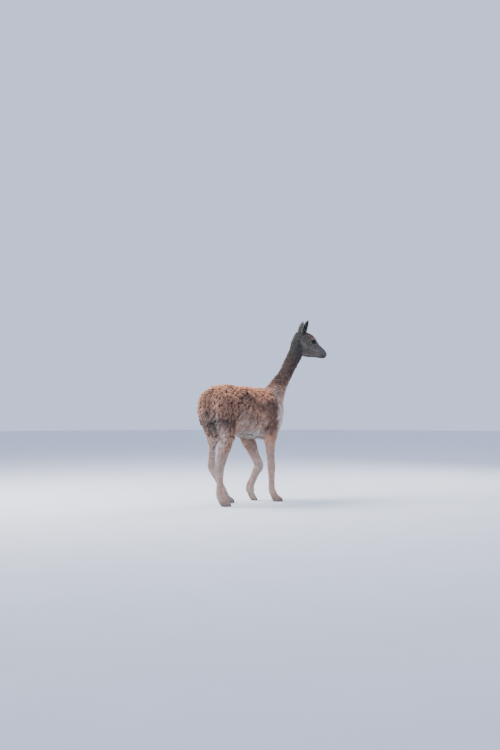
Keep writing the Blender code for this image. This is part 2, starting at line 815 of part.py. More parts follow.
def main():
    clearScene()
    fur = material("cinnamon_coat", (0.42, 0.22, 0.11), 0.9)
    pale = material("pale_coat", (0.72, 0.64, 0.54), 0.9)
    face = material("face_coat", (0.30, 0.25, 0.20), 0.85)
    dark = material("eye_dark", (0.02, 0.015, 0.012), 0.08)
    horn = material("nail_horn", (0.06, 0.05, 0.045), 0.4)

    rng = np.random.default_rng(coatSeed)
    body = flesh(1.0)

    # Head with brows, lids, sockets, nostrils and the line of the mouth
    head = headForm()
    extras = []
    for side in (-1, 1):
        brow = inHead(browCentre.x, side * browCentre.y, browCentre.z)
        extras.append(egg("brow", brow, browSize, headAxes))
        extras.append(lidRing(side))
    boolean(head, extras, "UNION")
    boolean(head, [copyOf(body, "neck_root")], "UNION")
    whole = head
    head = copyOf(whole, "head")
    boolean(head, [halfSpace(headSeam, -headNormal)], "DIFFERENCE")
    rest = copyOf(whole, "rest")
    boolean(rest, [halfSpace(headSeam - headNormal * seamGap, headNormal)], "DIFFERENCE")
    bpy.data.objects.remove(whole)
    bpy.data.objects.remove(body)
    cuts = []
    for side in (-1, 1):
        ball = eyeball(side)
        cuts.append(grown(ball, seamGap))
        ball.name = "eye_left" if side > 0 else "eye_right"
        ball.data.materials.append(dark)
        nostril = inHead(nostrilCentre.x, side * nostrilCentre.y, nostrilCentre.z)
        cuts.append(egg("nostril", nostril, nostrilSize, headAxes, nostrilTilt))
    cuts.append(mouthCut(head))
    boolean(head, cuts, "DIFFERENCE")
    largest(head)
    head.data.materials.append(face)

    # Ears, cut clear of the head and of the neck
    for side in ("left", "right"):
        item = ear(side)
        boolean(item, [grown(head, seamGap)], "DIFFERENCE")
        boolean(item, [grown(rest, seamGap)], "DIFFERENCE")
        largest(item)
        item.data.materials.append(face)

    # Neck and trunk part at the root of the neck
    neck = copyOf(rest, "neck")
    boolean(neck, [halfSpace(neckSeam, -neckNormal)], "DIFFERENCE")
    dressed(neck, neckForm, rng)
    boolean(neck, [halfSpace(neckSeam, -neckNormal)], "DIFFERENCE")
    boolean(neck, [halfSpace(headSeam - headNormal * seamGap, headNormal)], "DIFFERENCE")
    largest(neck)
    neck.data.materials.append(fur)
    torso = rest
    torso.name = "torso"
    boolean(torso, [halfSpace(neckSeam - neckNormal * seamGap, neckNormal)], "DIFFERENCE")

    # Legs part below the stifle and the elbow
    footing = {
        "hind_leg_right": (hindRight, flatToe),
        "hind_leg_left": (hindLeft, flatToe),
        "fore_leg_right": (foreRight, flatToe),
        "fore_leg_left": (foreLeft, tipToe),
    }
    for name, (low, high) in legZones.items():
        leg = copyOf(torso, name)
        keep = block(low, Vector(high) - Vector((0, 0, seamGap)))
        boolean(leg, [keep], "INTERSECT")
        forms, nails = toes(*footing[name])
        boolean(leg, forms, "UNION")
        boolean(leg, [block((-1, -1, -1), (1, 1, 0.0))], "DIFFERENCE")
        largest(leg)
        leg.data.materials.append(pale)
        for ending, nail in zip("ab", nails):
            nail.name = name.replace("leg", "nail") + "_" + ending
            nail.data.materials.append(horn)
    legSpace = [block(low, high) for low, high in legZones.values()]
    boolean(torso, legSpace, "DIFFERENCE")
    largest(torso)
    dressed(torso, torsoForm, rng)
    boolean(torso, [halfSpace(neckSeam - neckNormal * seamGap, neckNormal)], "DIFFERENCE")
    for name in legZones:
        boolean(torso, [grown(bpy.data.objects[name], seamGap)], "DIFFERENCE")
    largest(torso)
    torso.data.materials.append(fur)

    tail = sweep("tail", tailRows, coatShare=1.0)
    dressed(tail, tailForm, rng)
    behind = copyOf(torso, "behind_torso")
    behind.data.transform(Matrix.Translation((-seamGap, 0, 0)))
    boolean(tail, [behind, copyOf(torso, "torso_copy")], "DIFFERENCE")
    largest(tail)
    tail.data.materials.append(fur)

    place = Matrix.Rotation(math.radians(-90), 4, "Z") @ Matrix.Translation(-frameOrigin)
    for item in bpy.context.scene.objects:
        item.data.transform(place)
        item.data.shade_smooth()


main()
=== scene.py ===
import math

import bmesh
import bpy
import numpy as np
from mathutils import Matrix, Vector
from mathutils.bvhtree import BVHTree
from mathutils.kdtree import KDTree


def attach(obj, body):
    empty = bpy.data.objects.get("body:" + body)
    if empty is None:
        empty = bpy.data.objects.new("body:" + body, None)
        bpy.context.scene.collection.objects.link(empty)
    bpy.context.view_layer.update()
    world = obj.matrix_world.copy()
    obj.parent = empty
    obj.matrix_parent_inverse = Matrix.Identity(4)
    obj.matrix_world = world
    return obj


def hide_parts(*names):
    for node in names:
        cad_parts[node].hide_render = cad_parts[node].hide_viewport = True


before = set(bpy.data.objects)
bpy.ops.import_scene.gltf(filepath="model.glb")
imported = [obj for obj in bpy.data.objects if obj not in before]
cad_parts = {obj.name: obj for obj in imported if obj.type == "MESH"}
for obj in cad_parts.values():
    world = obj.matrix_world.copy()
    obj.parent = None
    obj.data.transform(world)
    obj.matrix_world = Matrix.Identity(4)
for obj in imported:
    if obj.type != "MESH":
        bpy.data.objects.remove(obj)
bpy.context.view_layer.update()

print("frame loaded:", len(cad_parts), "nodes")

# Where the body's own directions (x ahead, y left, z up) sit in the frame
frameOrigin = Vector((0.1448, -0.0010, 0.0))
toFrame = Matrix.Rotation(math.radians(-90), 4, "Z") @ Matrix.Translation(-frameOrigin)
toFrameArray = np.array(toFrame)

# Trunk, from rump to chest: x, top, bottom, widest level, half width, coat depth
trunkRows = [
    (-0.384, 0.770, 0.655, 0.712, 0.050, 0.010),
    (-0.364, 0.820, 0.590, 0.700, 0.105, 0.022),
    (-0.318, 0.857, 0.540, 0.690, 0.144, 0.030),
    (-0.250, 0.873, 0.512, 0.680, 0.162, 0.030),
    (-0.170, 0.875, 0.496, 0.670, 0.166, 0.030),
    (-0.080, 0.869, 0.472, 0.660, 0.172, 0.030),
    (0.010, 0.862, 0.457, 0.655, 0.174, 0.030),
    (0.095, 0.855, 0.450, 0.655, 0.170, 0.030),
    (0.170, 0.850, 0.455, 0.658, 0.158, 0.030),
    (0.235, 0.846, 0.472, 0.665, 0.140, 0.028),
    (0.283, 0.830, 0.500, 0.670, 0.112, 0.024),
    (0.318, 0.780, 0.560, 0.675, 0.070, 0.016),
]

# Neck, from head to chest: x, y, z, half fore, half back, half side, yaw, coat depth
neckRows = [
    (0.548, -0.038, 1.232, 0.042, 0.060, 0.046, -33, 0.006),
    (0.538, -0.028, 1.180, 0.058, 0.067, 0.051, -28, 0.010),
    (0.513, -0.019, 1.110, 0.060, 0.066, 0.053, -20, 0.013),
    (0.467, -0.011, 1.030, 0.057, 0.063, 0.055, -13, 0.015),
    (0.413, -0.004, 0.945, 0.057, 0.060, 0.057, -6, 0.016),
    (0.353, 0.000, 0.865, 0.066, 0.074, 0.067, 0, 0.018),
    (0.290, 0.000, 0.785, 0.088, 0.100, 0.086, 0, 0.024),
    (0.235, 0.000, 0.715, 0.090, 0.110, 0.095, 0, 0.024),
]

# Tail, from its root: x, y, z, half fore, half back, half side, yaw, coat depth
tailRows = [
    (-0.335, 0.000, 0.806, 0.028, 0.026, 0.034, 0, 0.012),
    (-0.368, -0.006, 0.790, 0.032, 0.028, 0.042, 0, 0.015),
    (-0.392, -0.014, 0.745, 0.030, 0.026, 0.047, 0, 0.016),
    (-0.396, -0.018, 0.685, 0.028, 0.025, 0.047, 0, 0.016),
    (-0.389, -0.018, 0.625, 0.022, 0.020, 0.037, 0, 0.012),
    (-0.380, -0.016, 0.572, 0.009, 0.008, 0.013, 0, 0.005),
]

# Joints of each leg, from the top: x, y, z
legJoints = {
    "hindRight": [
        (-0.262, -0.086, 0.720), (-0.262, -0.096, 0.530), (-0.326, -0.090, 0.280),
        (-0.328, -0.090, 0.092), (-0.310, -0.090, 0.050),
    ],
    "hindLeft": [
        (-0.275, 0.086, 0.720), (-0.228, 0.096, 0.530), (-0.250, 0.086, 0.278),
        (-0.148, 0.084, 0.100), (-0.120, 0.084, 0.050),
    ],
    "foreRight": [
        (0.205, -0.090, 0.640), (0.165, -0.090, 0.480), (0.182, -0.088, 0.256),
        (0.188, -0.088, 0.092), (0.209, -0.088, 0.050),
    ],
    "foreLeft": [
        (0.200, 0.090, 0.640), (0.108, 0.090, 0.475), (0.220, 0.086, 0.258),
        (0.128, 0.084, 0.110), (0.130, 0.084, 0.070),
    ],
}

# Girth down a leg: joint number and share of the way on, half fore, half back, half side, coat depth
hindGirth = [
    (0.00, 0.118, 0.112, 0.078, 0.030),
    (0.50, 0.116, 0.108, 0.080, 0.030),
    (1.00, 0.084, 0.080, 0.062, 0.024),
    (1.25, 0.070, 0.060, 0.052, 0.018),
    (1.50, 0.058, 0.050, 0.043, 0.012),
    (1.75, 0.043, 0.044, 0.034, 0.008),
    (2.00, 0.036, 0.043, 0.030, 0.005),
    (2.25, 0.029, 0.033, 0.026, 0.004),
    (2.60, 0.025, 0.026, 0.0220, 0.0035),
    (3.00, 0.028, 0.030, 0.026, 0.004),
    (4.00, 0.028, 0.030, 0.028, 0.004),
]
foreGirth = [
    (0.00, 0.080, 0.085, 0.058, 0.026),
    (0.50, 0.075, 0.080, 0.056, 0.024),
    (1.00, 0.056, 0.060, 0.046, 0.018),
    (1.30, 0.043, 0.045, 0.038, 0.012),
    (1.65, 0.032, 0.034, 0.029, 0.006),
    (2.00, 0.033, 0.029, 0.030, 0.004),
    (2.30, 0.0270, 0.0275, 0.0240, 0.0035),
    (2.65, 0.0240, 0.0250, 0.0220, 0.0035),
    (3.00, 0.026, 0.027, 0.0250, 0.004),
    (4.00, 0.027, 0.028, 0.028, 0.004),
]
# The far hind leg is slimmer down to its hock
hindLeftGirth = [
    (0.00, 0.118, 0.114, 0.078, 0.030),
    (0.50, 0.116, 0.110, 0.080, 0.030),
    (1.00, 0.082, 0.076, 0.060, 0.024),
    (1.22, 0.054, 0.050, 0.044, 0.016),
    (1.45, 0.031, 0.030, 0.026, 0.009),
    (1.75, 0.028, 0.030, 0.0235, 0.006),
    (2.00, 0.030, 0.036, 0.026, 0.005),
    *hindGirth[7:],
]
raisedGrowth = 1.18  # how much thicker the coat of the bent leg looks

# Toes: forward and downward steps from the toe root, half height, half width
footShape = {"spread": 0.0150, "splay": 0.05, "nailLength": 0.017, "furDepth": 0.0016}
flatToe = [
    (-0.006, 0.004, 0.030, 0.0150), (0.016, -0.022, 0.030, 0.0155),
    (0.038, -0.031, 0.023, 0.0145), (0.056, -0.036, 0.018, 0.0125),
]
tipToe = [
    (-0.006, 0.004, 0.028, 0.0150), (0.010, -0.022, 0.026, 0.0155),
    (0.026, -0.045, 0.021, 0.0145), (0.038, -0.057, 0.017, 0.0125),
]

# Head, from poll to lips: distance ahead of the eyes, top, bottom, widest level, half width, coat depth
headRows = [
    (-0.126, 0.010, -0.056, -0.018, 0.028, 0.006),
    (-0.110, 0.036, -0.092, -0.024, 0.046, 0.008),
    (-0.082, 0.053, -0.120, -0.028, 0.054, 0.009),
    (-0.048, 0.057, -0.131, -0.032, 0.057, 0.008),
    (-0.015, 0.052, -0.130, -0.034, 0.055, 0.006),
    (0.015, 0.038, -0.121, -0.037, 0.048, 0.0045),
    (0.042, 0.017, -0.110, -0.042, 0.040, 0.0035),
    (0.068, 0.004, -0.100, -0.046, 0.034, 0.0030),
    (0.094, -0.006, -0.092, -0.049, 0.030, 0.0025),
    (0.116, -0.014, -0.086, -0.051, 0.0275, 0.0020),
    (0.131, -0.024, -0.079, -0.052, 0.0240, 0.0015),
    (0.141, -0.035, -0.070, -0.052, 0.0175, 0.0012),
    (0.146, -0.045, -0.060, -0.052, 0.008, 0.0010),
]
headPose = {
    "middle": Vector((0.6246, -0.083, 1.198)),
    "yaw": math.radians(-35),
    "pitch": math.radians(-24),
}
eyeShape = {
    "centre": Vector((0.0, 0.0335, 0.0)),
    "radius": 0.0210,
    "belts": 40,
    "corners": 64,
    "look": Vector((0.34, 1.0, 0.06)),
    "halfWidth": math.radians(48),
    "halfHeight": math.radians(33),
    "lid": 0.0024,
    "lidReach": math.radians(84),
    "lidSection": [
        (0.0, -1.2), (-0.02, 0.3), (0.04, 0.9), (0.18, 1.1),
        (0.45, 0.9), (1.0, 0.3), (0.9, -1.2), (0.4, -1.2),
    ],
}
earShape = {
    "base": {"left": Vector((-0.091, 0.036, 0.046)), "right": Vector((-0.076, -0.036, 0.046))},
    "tip": {"left": Vector((-0.060, 0.050, 0.161)), "right": Vector((-0.040, -0.050, 0.163))},
    "opening": {"left": Vector((0.45, 0.90, 0.0)), "right": Vector((0.35, -0.94, 0.0))},
    "halfWidth": 0.0208,
    "wall": 0.0024,
    "curl": math.radians(118),
    "points": 19,
    "hollow": 0.010,
    "levels": [-0.20, -0.03, 0.14, 0.34, 0.56, 0.76, 0.90, 1.00],
    "widths": [0.60, 0.74, 0.92, 1.00, 0.95, 0.74, 0.45, 0.12],
}

headAlong = Vector((math.cos(headPose["yaw"]), math.sin(headPose["yaw"]), 0))
headLeft = Vector((-math.sin(headPose["yaw"]), math.cos(headPose["yaw"]), 0))
headNose = headAlong * math.cos(headPose["pitch"]) + Vector((0, 0, math.sin(headPose["pitch"])))
headCrown = Vector((0, 0, math.cos(headPose["pitch"]))) - headAlong * math.sin(headPose["pitch"])
headArray = np.array((headNose, headLeft, headCrown))


def inHead(ahead, left, up):
    return headPose["middle"] + headNose * ahead + headLeft * left + headCrown * up


# How far ahead, left and up from the eyes
def fromHead(points):
    offset = points - np.array(headPose["middle"])
    return [offset @ way for way in headArray]


def inLevel(offset):
    return headPose["middle"] + headAlong * offset.x + headLeft * offset.y + Vector((0, 0, offset.z))


# Forms shared by skin, coat and markings

def unit(ways):
    return ways / np.maximum(np.linalg.norm(ways, axis=-1, keepdims=True), 1e-9)


# The dot product of each pair of rows, as a column
def dots(first, second):
    return (first * second).sum(-1, keepdims=True)


def smoothRows(rows, steps):
    rows = np.array(rows, float)
    ends = np.vstack([2 * rows[0] - rows[1], rows, 2 * rows[-1] - rows[-2]])
    made = []
    for i in range(len(rows) - 1):
        a, b, c, d = ends[i : i + 4]
        for t in np.arange(steps) / steps:
            bend = (2 * a - 5 * b + 4 * c - d) * t * t + (3 * b - a - 3 * c + d) * t**3
            made.append(0.5 * (2 * b + (c - a) * t + bend))
    made.append(rows[-1])
    return np.array(made)


# Stations along a form: centre, the way on, up, side, half sizes and coat depth
class Spine:
    def __init__(self, centres, up, side, halfUp, halfDown, halfSide, coat, power=2.2):
        self.centres = np.array(centres)
        self.up = np.array(up)
        self.side = np.array(side)
        self.half = np.array([halfUp, halfDown, halfSide]).T
        self.coat = np.array(coat)
        self.power = power
        steps = np.linalg.norm(np.diff(self.centres, axis=0), axis=1)
        self.length = np.concatenate([[0], np.cumsum(steps)])
        self.along = unit(np.gradient(self.centres, axis=0))

    def rings(self, sides):
        turns = 2 * math.pi * np.arange(sides) / sides
        cos, sin = np.cos(turns), np.sin(turns)
        rise = np.sign(cos) * np.abs(cos) ** (2 / self.power)
        reach = np.sign(sin) * np.abs(sin) ** (2 / self.power)
        half = np.maximum(self.half - self.coat[:, None], 0.3 * self.half)
        high = np.where(cos > 0, half[:, :1], half[:, 1:2]) * rise
        wide = half[:, 2:] * reach
        lifted = self.up[:, None] * high[..., None]
        return self.centres[:, None] + lifted + self.side[:, None] * wide[..., None]

    def nearest(self, points):
        return np.argmin([((points - centre) ** 2).sum(1) for centre in self.centres], axis=0)

    # Length along, angle round, how far out (1 on the surface) and coat depth for each point
    def local(self, points):
        nearest = self.nearest(points)
        offset = points - self.centres[nearest]
        rise = (offset * self.up[nearest]).sum(1)
        reach = (offset * self.side[nearest]).sum(1)
        on = (offset * self.along[nearest]).sum(1)
        half = self.half[nearest]
        high = rise / np.where(rise > 0, half[:, 0], half[:, 1])
        wide = reach / half[:, 2]
        past = np.maximum(np.abs(on) - 0.02, 0) / half[:, 2]
        out = np.sqrt(high**2 + wide**2 + past**2)
        return self.length[nearest] + on, np.arctan2(wide, high), out, self.coat[nearest]


def limbSpine(rows, steps=6):
    rows = smoothRows(rows, steps)
    centres = rows[:, :3]
    along = unit(np.gradient(centres, axis=0))
    yaw = np.radians(rows[:, 6])
    side = np.stack([-np.sin(yaw), np.cos(yaw), 0 * yaw], 1)
    side = unit(side - along * dots(side, along))
    return Spine(centres, np.cross(along, side), side, rows[:, 3], rows[:, 4], rows[:, 5], rows[:, 7])


def legRows(joints, girth, growth):
    rows = []
    for where, *halves, coat in girth:
        fore, back, side = (half * growth for half in halves)
        i = min(int(where), len(joints) - 2)
        point = Vector(joints[i]).lerp(Vector(joints[i + 1]), where - i)
        rows.append((*point, fore, back, side, 0, coat))
    return rows


# Stations from rows of: how far ahead, top, bottom, widest level, half width, coat depth
def levelSpine(rows, place, up, side, power):
    ahead, top, bottom, level, half, coat = smoothRows(rows, 6).T
    centres = [place(a, 0, z) for a, z in zip(ahead, level)]
    up, side = (np.tile(way, (len(ahead), 1)) for way in (up, side))
    return Spine(centres, up, side, top - level, level - bottom, half, coat, power)


regionNames = ["trunk", "neck", "tail", "head", "hindRight", "hindLeft", "foreRight", "foreLeft"]
spines = {
    "trunk": levelSpine(trunkRows, lambda *place: place, (0.0, 0.0, 1.0), (0.0, 1.0, 0.0), 2.25),
    "neck": limbSpine(neckRows),
    "tail": limbSpine(tailRows),
    "head": levelSpine(headRows, inHead, headCrown, headLeft, 2.2),
}
for legName, joints in legJoints.items():
    legGirth = {"hindRight": hindGirth, "hindLeft": hindLeftGirth}.get(legName, foreGirth)
    spines[legName] = limbSpine(legRows(joints, legGirth, raisedGrowth if legName == "foreLeft" else 1.0))


# The region that each point belongs to
def locate(points, among):
    out = [spines[name].local(points)[2] for name in among]
    return np.array([regionNames.index(name) for name in among])[np.argmin(out, axis=0)]


# Meshes

def linked(name, data):
    item = bpy.data.objects.new(name, data)
    bpy.context.scene.collection.objects.link(item)
    return item


def objectFrom(name, vertices, faces):
    mesh = bpy.data.meshes.new(name)
    mesh.from_pydata([tuple(v) for v in vertices], [], faces)
    return linked(name, mesh)


# An object of a worked shape, which is used up
def fromShape(name, shape):
    mesh = bpy.data.meshes.new(name)
    shape.to_mesh(mesh)
    shape.free()
    return linked(name, mesh)


def outward(item):
    shape = bmesh.new()
    shape.from_mesh(item.data)
    bmesh.ops.recalc_face_normals(shape, faces=shape.faces)
    shape.to_mesh(item.data)
    shape.free()
    return item


# Quads from each closed ring to the next, and from the last to the first if they close too
def ringFaces(rows, sides, closed=False):
    faces = []
    for i in range(rows if closed else rows - 1):
        j = (i + 1) % rows
        for k in range(sides):
            n = (k + 1) % sides
            faces.append((i * sides + k, i * sides + n, j * sides + n, j * sides + k))
    return faces


# A closed skin over rings of equal count, with a fan at each end
def loft(name, rings, floor=None):
    rings = np.array(rings)
    if floor is not None:
        rings[..., 2] = np.maximum(rings[..., 2], floor)
    rows, sides, _ = rings.shape
    vertices = np.concatenate([rings.reshape(-1, 3), [rings[0].mean(0), rings[-1].mean(0)]])
    faces = ringFaces(rows, sides)
    for k in range(sides):
        n = (k + 1) % sides
        faces.append((rows * sides, n, k))
        faces.append((rows * sides + 1, (rows - 1) * sides + k, (rows - 1) * sides + n))
    return outward(objectFrom(name, vertices, faces))


def applied(item):
    bpy.context.view_layer.update()
    graph = bpy.context.evaluated_depsgraph_get()
    mesh = bpy.data.meshes.new_from_object(item.evaluated_get(graph))
    item.modifiers.clear()
    item.data = mesh
    return item


def joined(items, name):
    shape = bmesh.new()
    for item in items:
        shape.from_mesh(item.data)
        bpy.data.objects.remove(item)
    return fromShape(name, shape)


# Forms that overlap, made one smooth skin
def blended(items, name, voxel, softening):
    body = joined(items, name)
    remesh = body.modifiers.new("blend", "REMESH")
    remesh.mode = "VOXEL"
    remesh.voxel_size = voxel
    smooth = body.modifiers.new("soften", "SMOOTH")
    smooth.iterations = softening
    return applied(body)


# Cuts shapes from an object and removes them
def carved(item, cutters):
    group = bpy.data.collections.new("cutters")
    for cutter in cutters:
        group.objects.link(cutter)
    step = item.modifiers.new("carve", "BOOLEAN")
    step.operation = "DIFFERENCE"
    step.solver = "MANIFOLD"
    step.operand_type = "COLLECTION"
    step.collection = group
    applied(item)
    for cutter in cutters:
        bpy.data.objects.remove(cutter)
    bpy.data.collections.remove(group)
    return item


# A ball pressed to three half sizes along the head's axes
def egg(name, centre, size, turn=0.0, rings=16, sides=24):
    shape = bmesh.new()
    bmesh.ops.create_uvsphere(shape, u_segments=sides, v_segments=rings, radius=1.0)
    basis = Matrix((headNose, headLeft, headCrown)).transposed().to_4x4()
    tilt = Matrix.Rotation(turn, 4, "Y")
    shape.transform(Matrix.Translation(centre) @ basis @ tilt @ Matrix.Diagonal((*size, 1.0)))
    return fromShape(name, shape)


def treeOf(points):
    tree = KDTree(len(points))
    for i, point in enumerate(points):
        tree.insert(point, i)
    tree.balance()
    return tree


# Skin of trunk, neck, tail and upper legs

skinShape = {
    "bodyVoxel": 0.0075,
    "legVoxel": 0.0042,
    "headVoxel": 0.0023,
    "sides": 48,
    "limbSides": 36,
    "tailSides": 24,
    "drawnIn": 0.82,
    "legCut": 0.405,
    "legLap": 0.035,
    "neckTop": 1.165,
    "neckLap": 0.065,
}


# A limb between two levels, with its cut ends drawn in so that they hide in the next form
def limbForm(name, low=-math.inf, high=math.inf, floor=None):
    level = spines[name].centres[:, 2]
    keep = (level > low) & (level < high)
    kept = spines[name].rings(skinShape["limbSides"])[keep]
    for i in (0, -1):
        if not keep[i]:
            kept[i] = kept[i].mean(0) + (kept[i] - kept[i].mean(0)) * skinShape["drawnIn"]
    return loft(name, kept, floor)


def bodySkin():
    low = skinShape["legCut"] - skinShape["legLap"]
    forms = [
        loft("trunk", spines["trunk"].rings(skinShape["sides"])),
        loft("tail", spines["tail"].rings(skinShape["tailSides"])),
        limbForm("neck", high=skinShape["neckTop"]),
        *(limbForm(name, low=low) for name in legJoints),
    ]
    return blended(forms, "bodySkin", skinShape["bodyVoxel"], 4)


def toeForms(name):
    joints = legJoints[name]
    steps = tipToe if name == "foreLeft" else flatToe
    root = np.array(joints[-1])
    toes, nails = [], []
    for hand in (-1, 1):
        turn = hand * footShape["splay"]
        along = np.array([math.cos(turn), math.sin(turn), 0])
        side = np.array([-along[1], along[0], 0])
        start = root + np.array([0, hand * footShape["spread"], 0])
        rows = smoothRows(steps, 5)
        centres = start + along * rows[:, :1] + np.array([0, 0, 1]) * rows[:, 1:2]
        half = rows[:, 2:] - footShape["furDepth"]
        toes.append(loft("toe", ovals(centres, side, half, 24), floor=0.0004))
        last, size = centres[-1], rows[-1, 2:]
        ahead = np.array([0.0, 0.12, 0.35, 0.6, 0.82, 0.95, 1.0])
        share = np.array([0.93, 0.95, 0.88, 0.72, 0.50, 0.30, 0.12])
        tips = last + along * (ahead * footShape["nailLength"] - 0.001)[:, None]
        tips = tips - np.array([0, 0, 1]) * (size[0] * 0.75 * ahead**1.5)[:, None]
        nails.append(loft("nail", ovals(tips, side, size * share[:, None], 20), floor=0.0))
    return toes, nails


def ovals(centres, side, half, sides):
    turns = 2 * math.pi * np.arange(sides) / sides
    up = np.array([0, 0, 1]) * (np.cos(turns)[:, None] * half[:, None, :1])
    return centres[:, None] + up + side * (np.sin(turns)[:, None] * half[:, None, 1:2])


def legSkin(name):
    leg = limbForm(name, high=skinShape["legCut"] + skinShape["legLap"], floor=0.0)
    toes, nails = toeForms(name)
    return blended([leg, *toes], name, skinShape["legVoxel"], 2), nails


# Skin of the head: brows, lids, lips and nostrils

faceShape = {
    "brow": (Vector((-0.004, 0.0330, 0.0185)), Vector((0.025, 0.013, 0.0070))),
    "cheek": (Vector((-0.035, 0.0330, -0.060)), Vector((0.040, 0.020, 0.036))),
    "lip": (Vector((0.1240, 0.0125, -0.0500)), Vector((0.021, 0.0145, 0.0185))),
    "chin": (Vector((0.1080, 0.0, -0.0720)), Vector((0.024, 0.0180, 0.0125))),
    "nostril": (Vector((0.1350, 0.0175, -0.0390)), Vector((0.0100, 0.0062, 0.0030))),
    "nostrilRim": (Vector((0.1320, 0.0130, -0.0380)), Vector((0.0135, 0.0085, 0.0068))),
    "poll": Vector((0.050, 0.045, 0.044)),
    "cleft": (Vector((0.1475, 0.0, -0.0520)), Vector((0.0060, 0.0011, 0.0120))),
    "nostrilTilt": math.radians(38),
    "mouthMiddle": 0.098,
    "mouthReach": math.radians(98),
    "mouthFront": -0.0600,
    "mouthCorner": -0.0730,
    "mouthHeight": 0.0019,
    "mouthDepth": 0.0055,
}


def mirrored(vector, side):
    return inHead(vector.x, side * vector.y, vector.z)


# The way an eye looks, with the ways across and up beside it
def gazeAxes(side):
    way = eyeShape["look"]
    look = (headNose * way.x + headLeft * side * way.y + headCrown * way.z).normalized()
    across = (headNose - look * headNose.dot(look)).normalized()
    upward = look.cross(across)
    return look, across, upward if upward.dot(headCrown) > 0 else -upward


# Both lids: a shell over the eyeball from an almond rim out to where the head covers it, heavier above
def lidRing(side):
    centre = mirrored(eyeShape["centre"], side)
    look, across, upward = gazeAxes(side)
    beads = 48
    path = []
    for i in range(beads):
        turn = 2 * math.pi * i / beads
        wide = eyeShape["halfWidth"] * math.cos(turn)
        high = eyeShape["halfHeight"] * math.sin(turn) * (1 - 0.25 * math.cos(turn) ** 2)
        away = (look + across * math.tan(wide) + upward * math.tan(high)).normalized()
        path.append((centre + away * (eyeShape["radius"] + 0.0002), away, turn))
    rings = []
    for _, away, turn in path:
        rim = math.acos(away.dot(look))
        outer = (away - look * away.dot(look)).normalized()
        thick = eyeShape["lid"] * (1 + 0.35 * max(math.sin(turn), 0))
        ring = []
        for share, height in eyeShape["lidSection"]:
            angle = rim + (eyeShape["lidReach"] - rim) * share
            reach = eyeShape["radius"] + thick * height
            ring.append(centre + (look * math.cos(angle) + outer * math.sin(angle)) * reach)
        rings.append(ring)
    faces = ringFaces(beads, len(eyeShape["lidSection"]), closed=True)
    made = outward(objectFrom("lids", [v for ring in rings for v in ring], faces))
    return made, [(point + away * eyeShape["lid"] * 0.6, away, turn) for point, away, turn in path]


# A thin groove round the front of the muzzle, which leaves the line of the mouth
def mouthCut(head):
    corners = [v.co for v in head.data.vertices]
    surface = BVHTree.FromPolygons(corners, [p.vertices for p in head.data.polygons])
    rows = []
    steps = 44
    for i in range(steps + 1):
        share = 2 * i / steps - 1
        turn = share * faceShape["mouthReach"]
        level = faceShape["mouthFront"] * (1 - share * share) + faceShape["mouthCorner"] * share * share
        middle = inHead(faceShape["mouthMiddle"], 0, level)
        way = headNose * math.cos(turn) + headLeft * math.sin(turn)
        hit = surface.ray_cast(middle + way * 0.2, -way)[0]
        fade = 1 - abs(share) ** 6 * 0.8
        lift = headCrown * faceShape["mouthHeight"] * fade
        outer = hit + way * faceShape["mouthDepth"]
        mouthPath.append(hit)
        rows.append([hit - way * faceShape["mouthDepth"] * fade, outer + lift, outer - lift])
    return loft("mouthCut", rows)


lidPaths = {}
mouthPath = []


# How far points lie from the middle of an eye's opening, with 1 on the lids' rim, and from the eye's centre
def aroundEye(points, side):
    offset = points - np.array(mirrored(eyeShape["centre"], side))
    nose, left, crown = headArray
    look = nose * eyeShape["look"].x + left * side * eyeShape["look"].y
    look /= np.linalg.norm(look)
    flat = nose - look * (look @ nose)
    ahead = offset @ look
    wide = np.arctan2(offset @ flat / np.linalg.norm(flat), ahead) / eyeShape["halfWidth"]
    high = np.arctan2(offset @ crown, ahead) / eyeShape["halfHeight"]
    return np.hypot(wide, high), np.linalg.norm(offset, axis=1)


def faceEgg(part, side=1):
    centre, size = faceShape[part]
    tilt = faceShape["nostrilTilt"] if part.startswith("nostril") else 0.0
    return egg(part, mirrored(centre, side), size, turn=tilt)


def headSkin():
    forms = [
        loft("head", spines["head"].rings(skinShape["sides"])),
        limbForm("neck", low=skinShape["neckTop"] - skinShape["neckLap"]),
        egg("poll", Vector(neckRows[0][:3]), faceShape["poll"]),
    ]
    for side in (-1, 1):
        forms += [faceEgg(part, side) for part in ("brow", "cheek", "lip", "nostrilRim")]
        lids, lidPaths[side] = lidRing(side)
        forms.append(lids)
    forms.append(faceEgg("chin"))
    head = blended(forms, "headSkin", skinShape["headVoxel"], 3)
    cutters = [mouthCut(head), faceEgg("cleft")]
    for side in (-1, 1):
        hollow = Vector((eyeShape["radius"] + 0.0004,) * 3)
        cutters.append(egg("socket", mirrored(eyeShape["centre"], side), hollow, rings=32, sides=48))
        cutters.append(faceEgg("nostril", side))
    return carved(head, cutters)


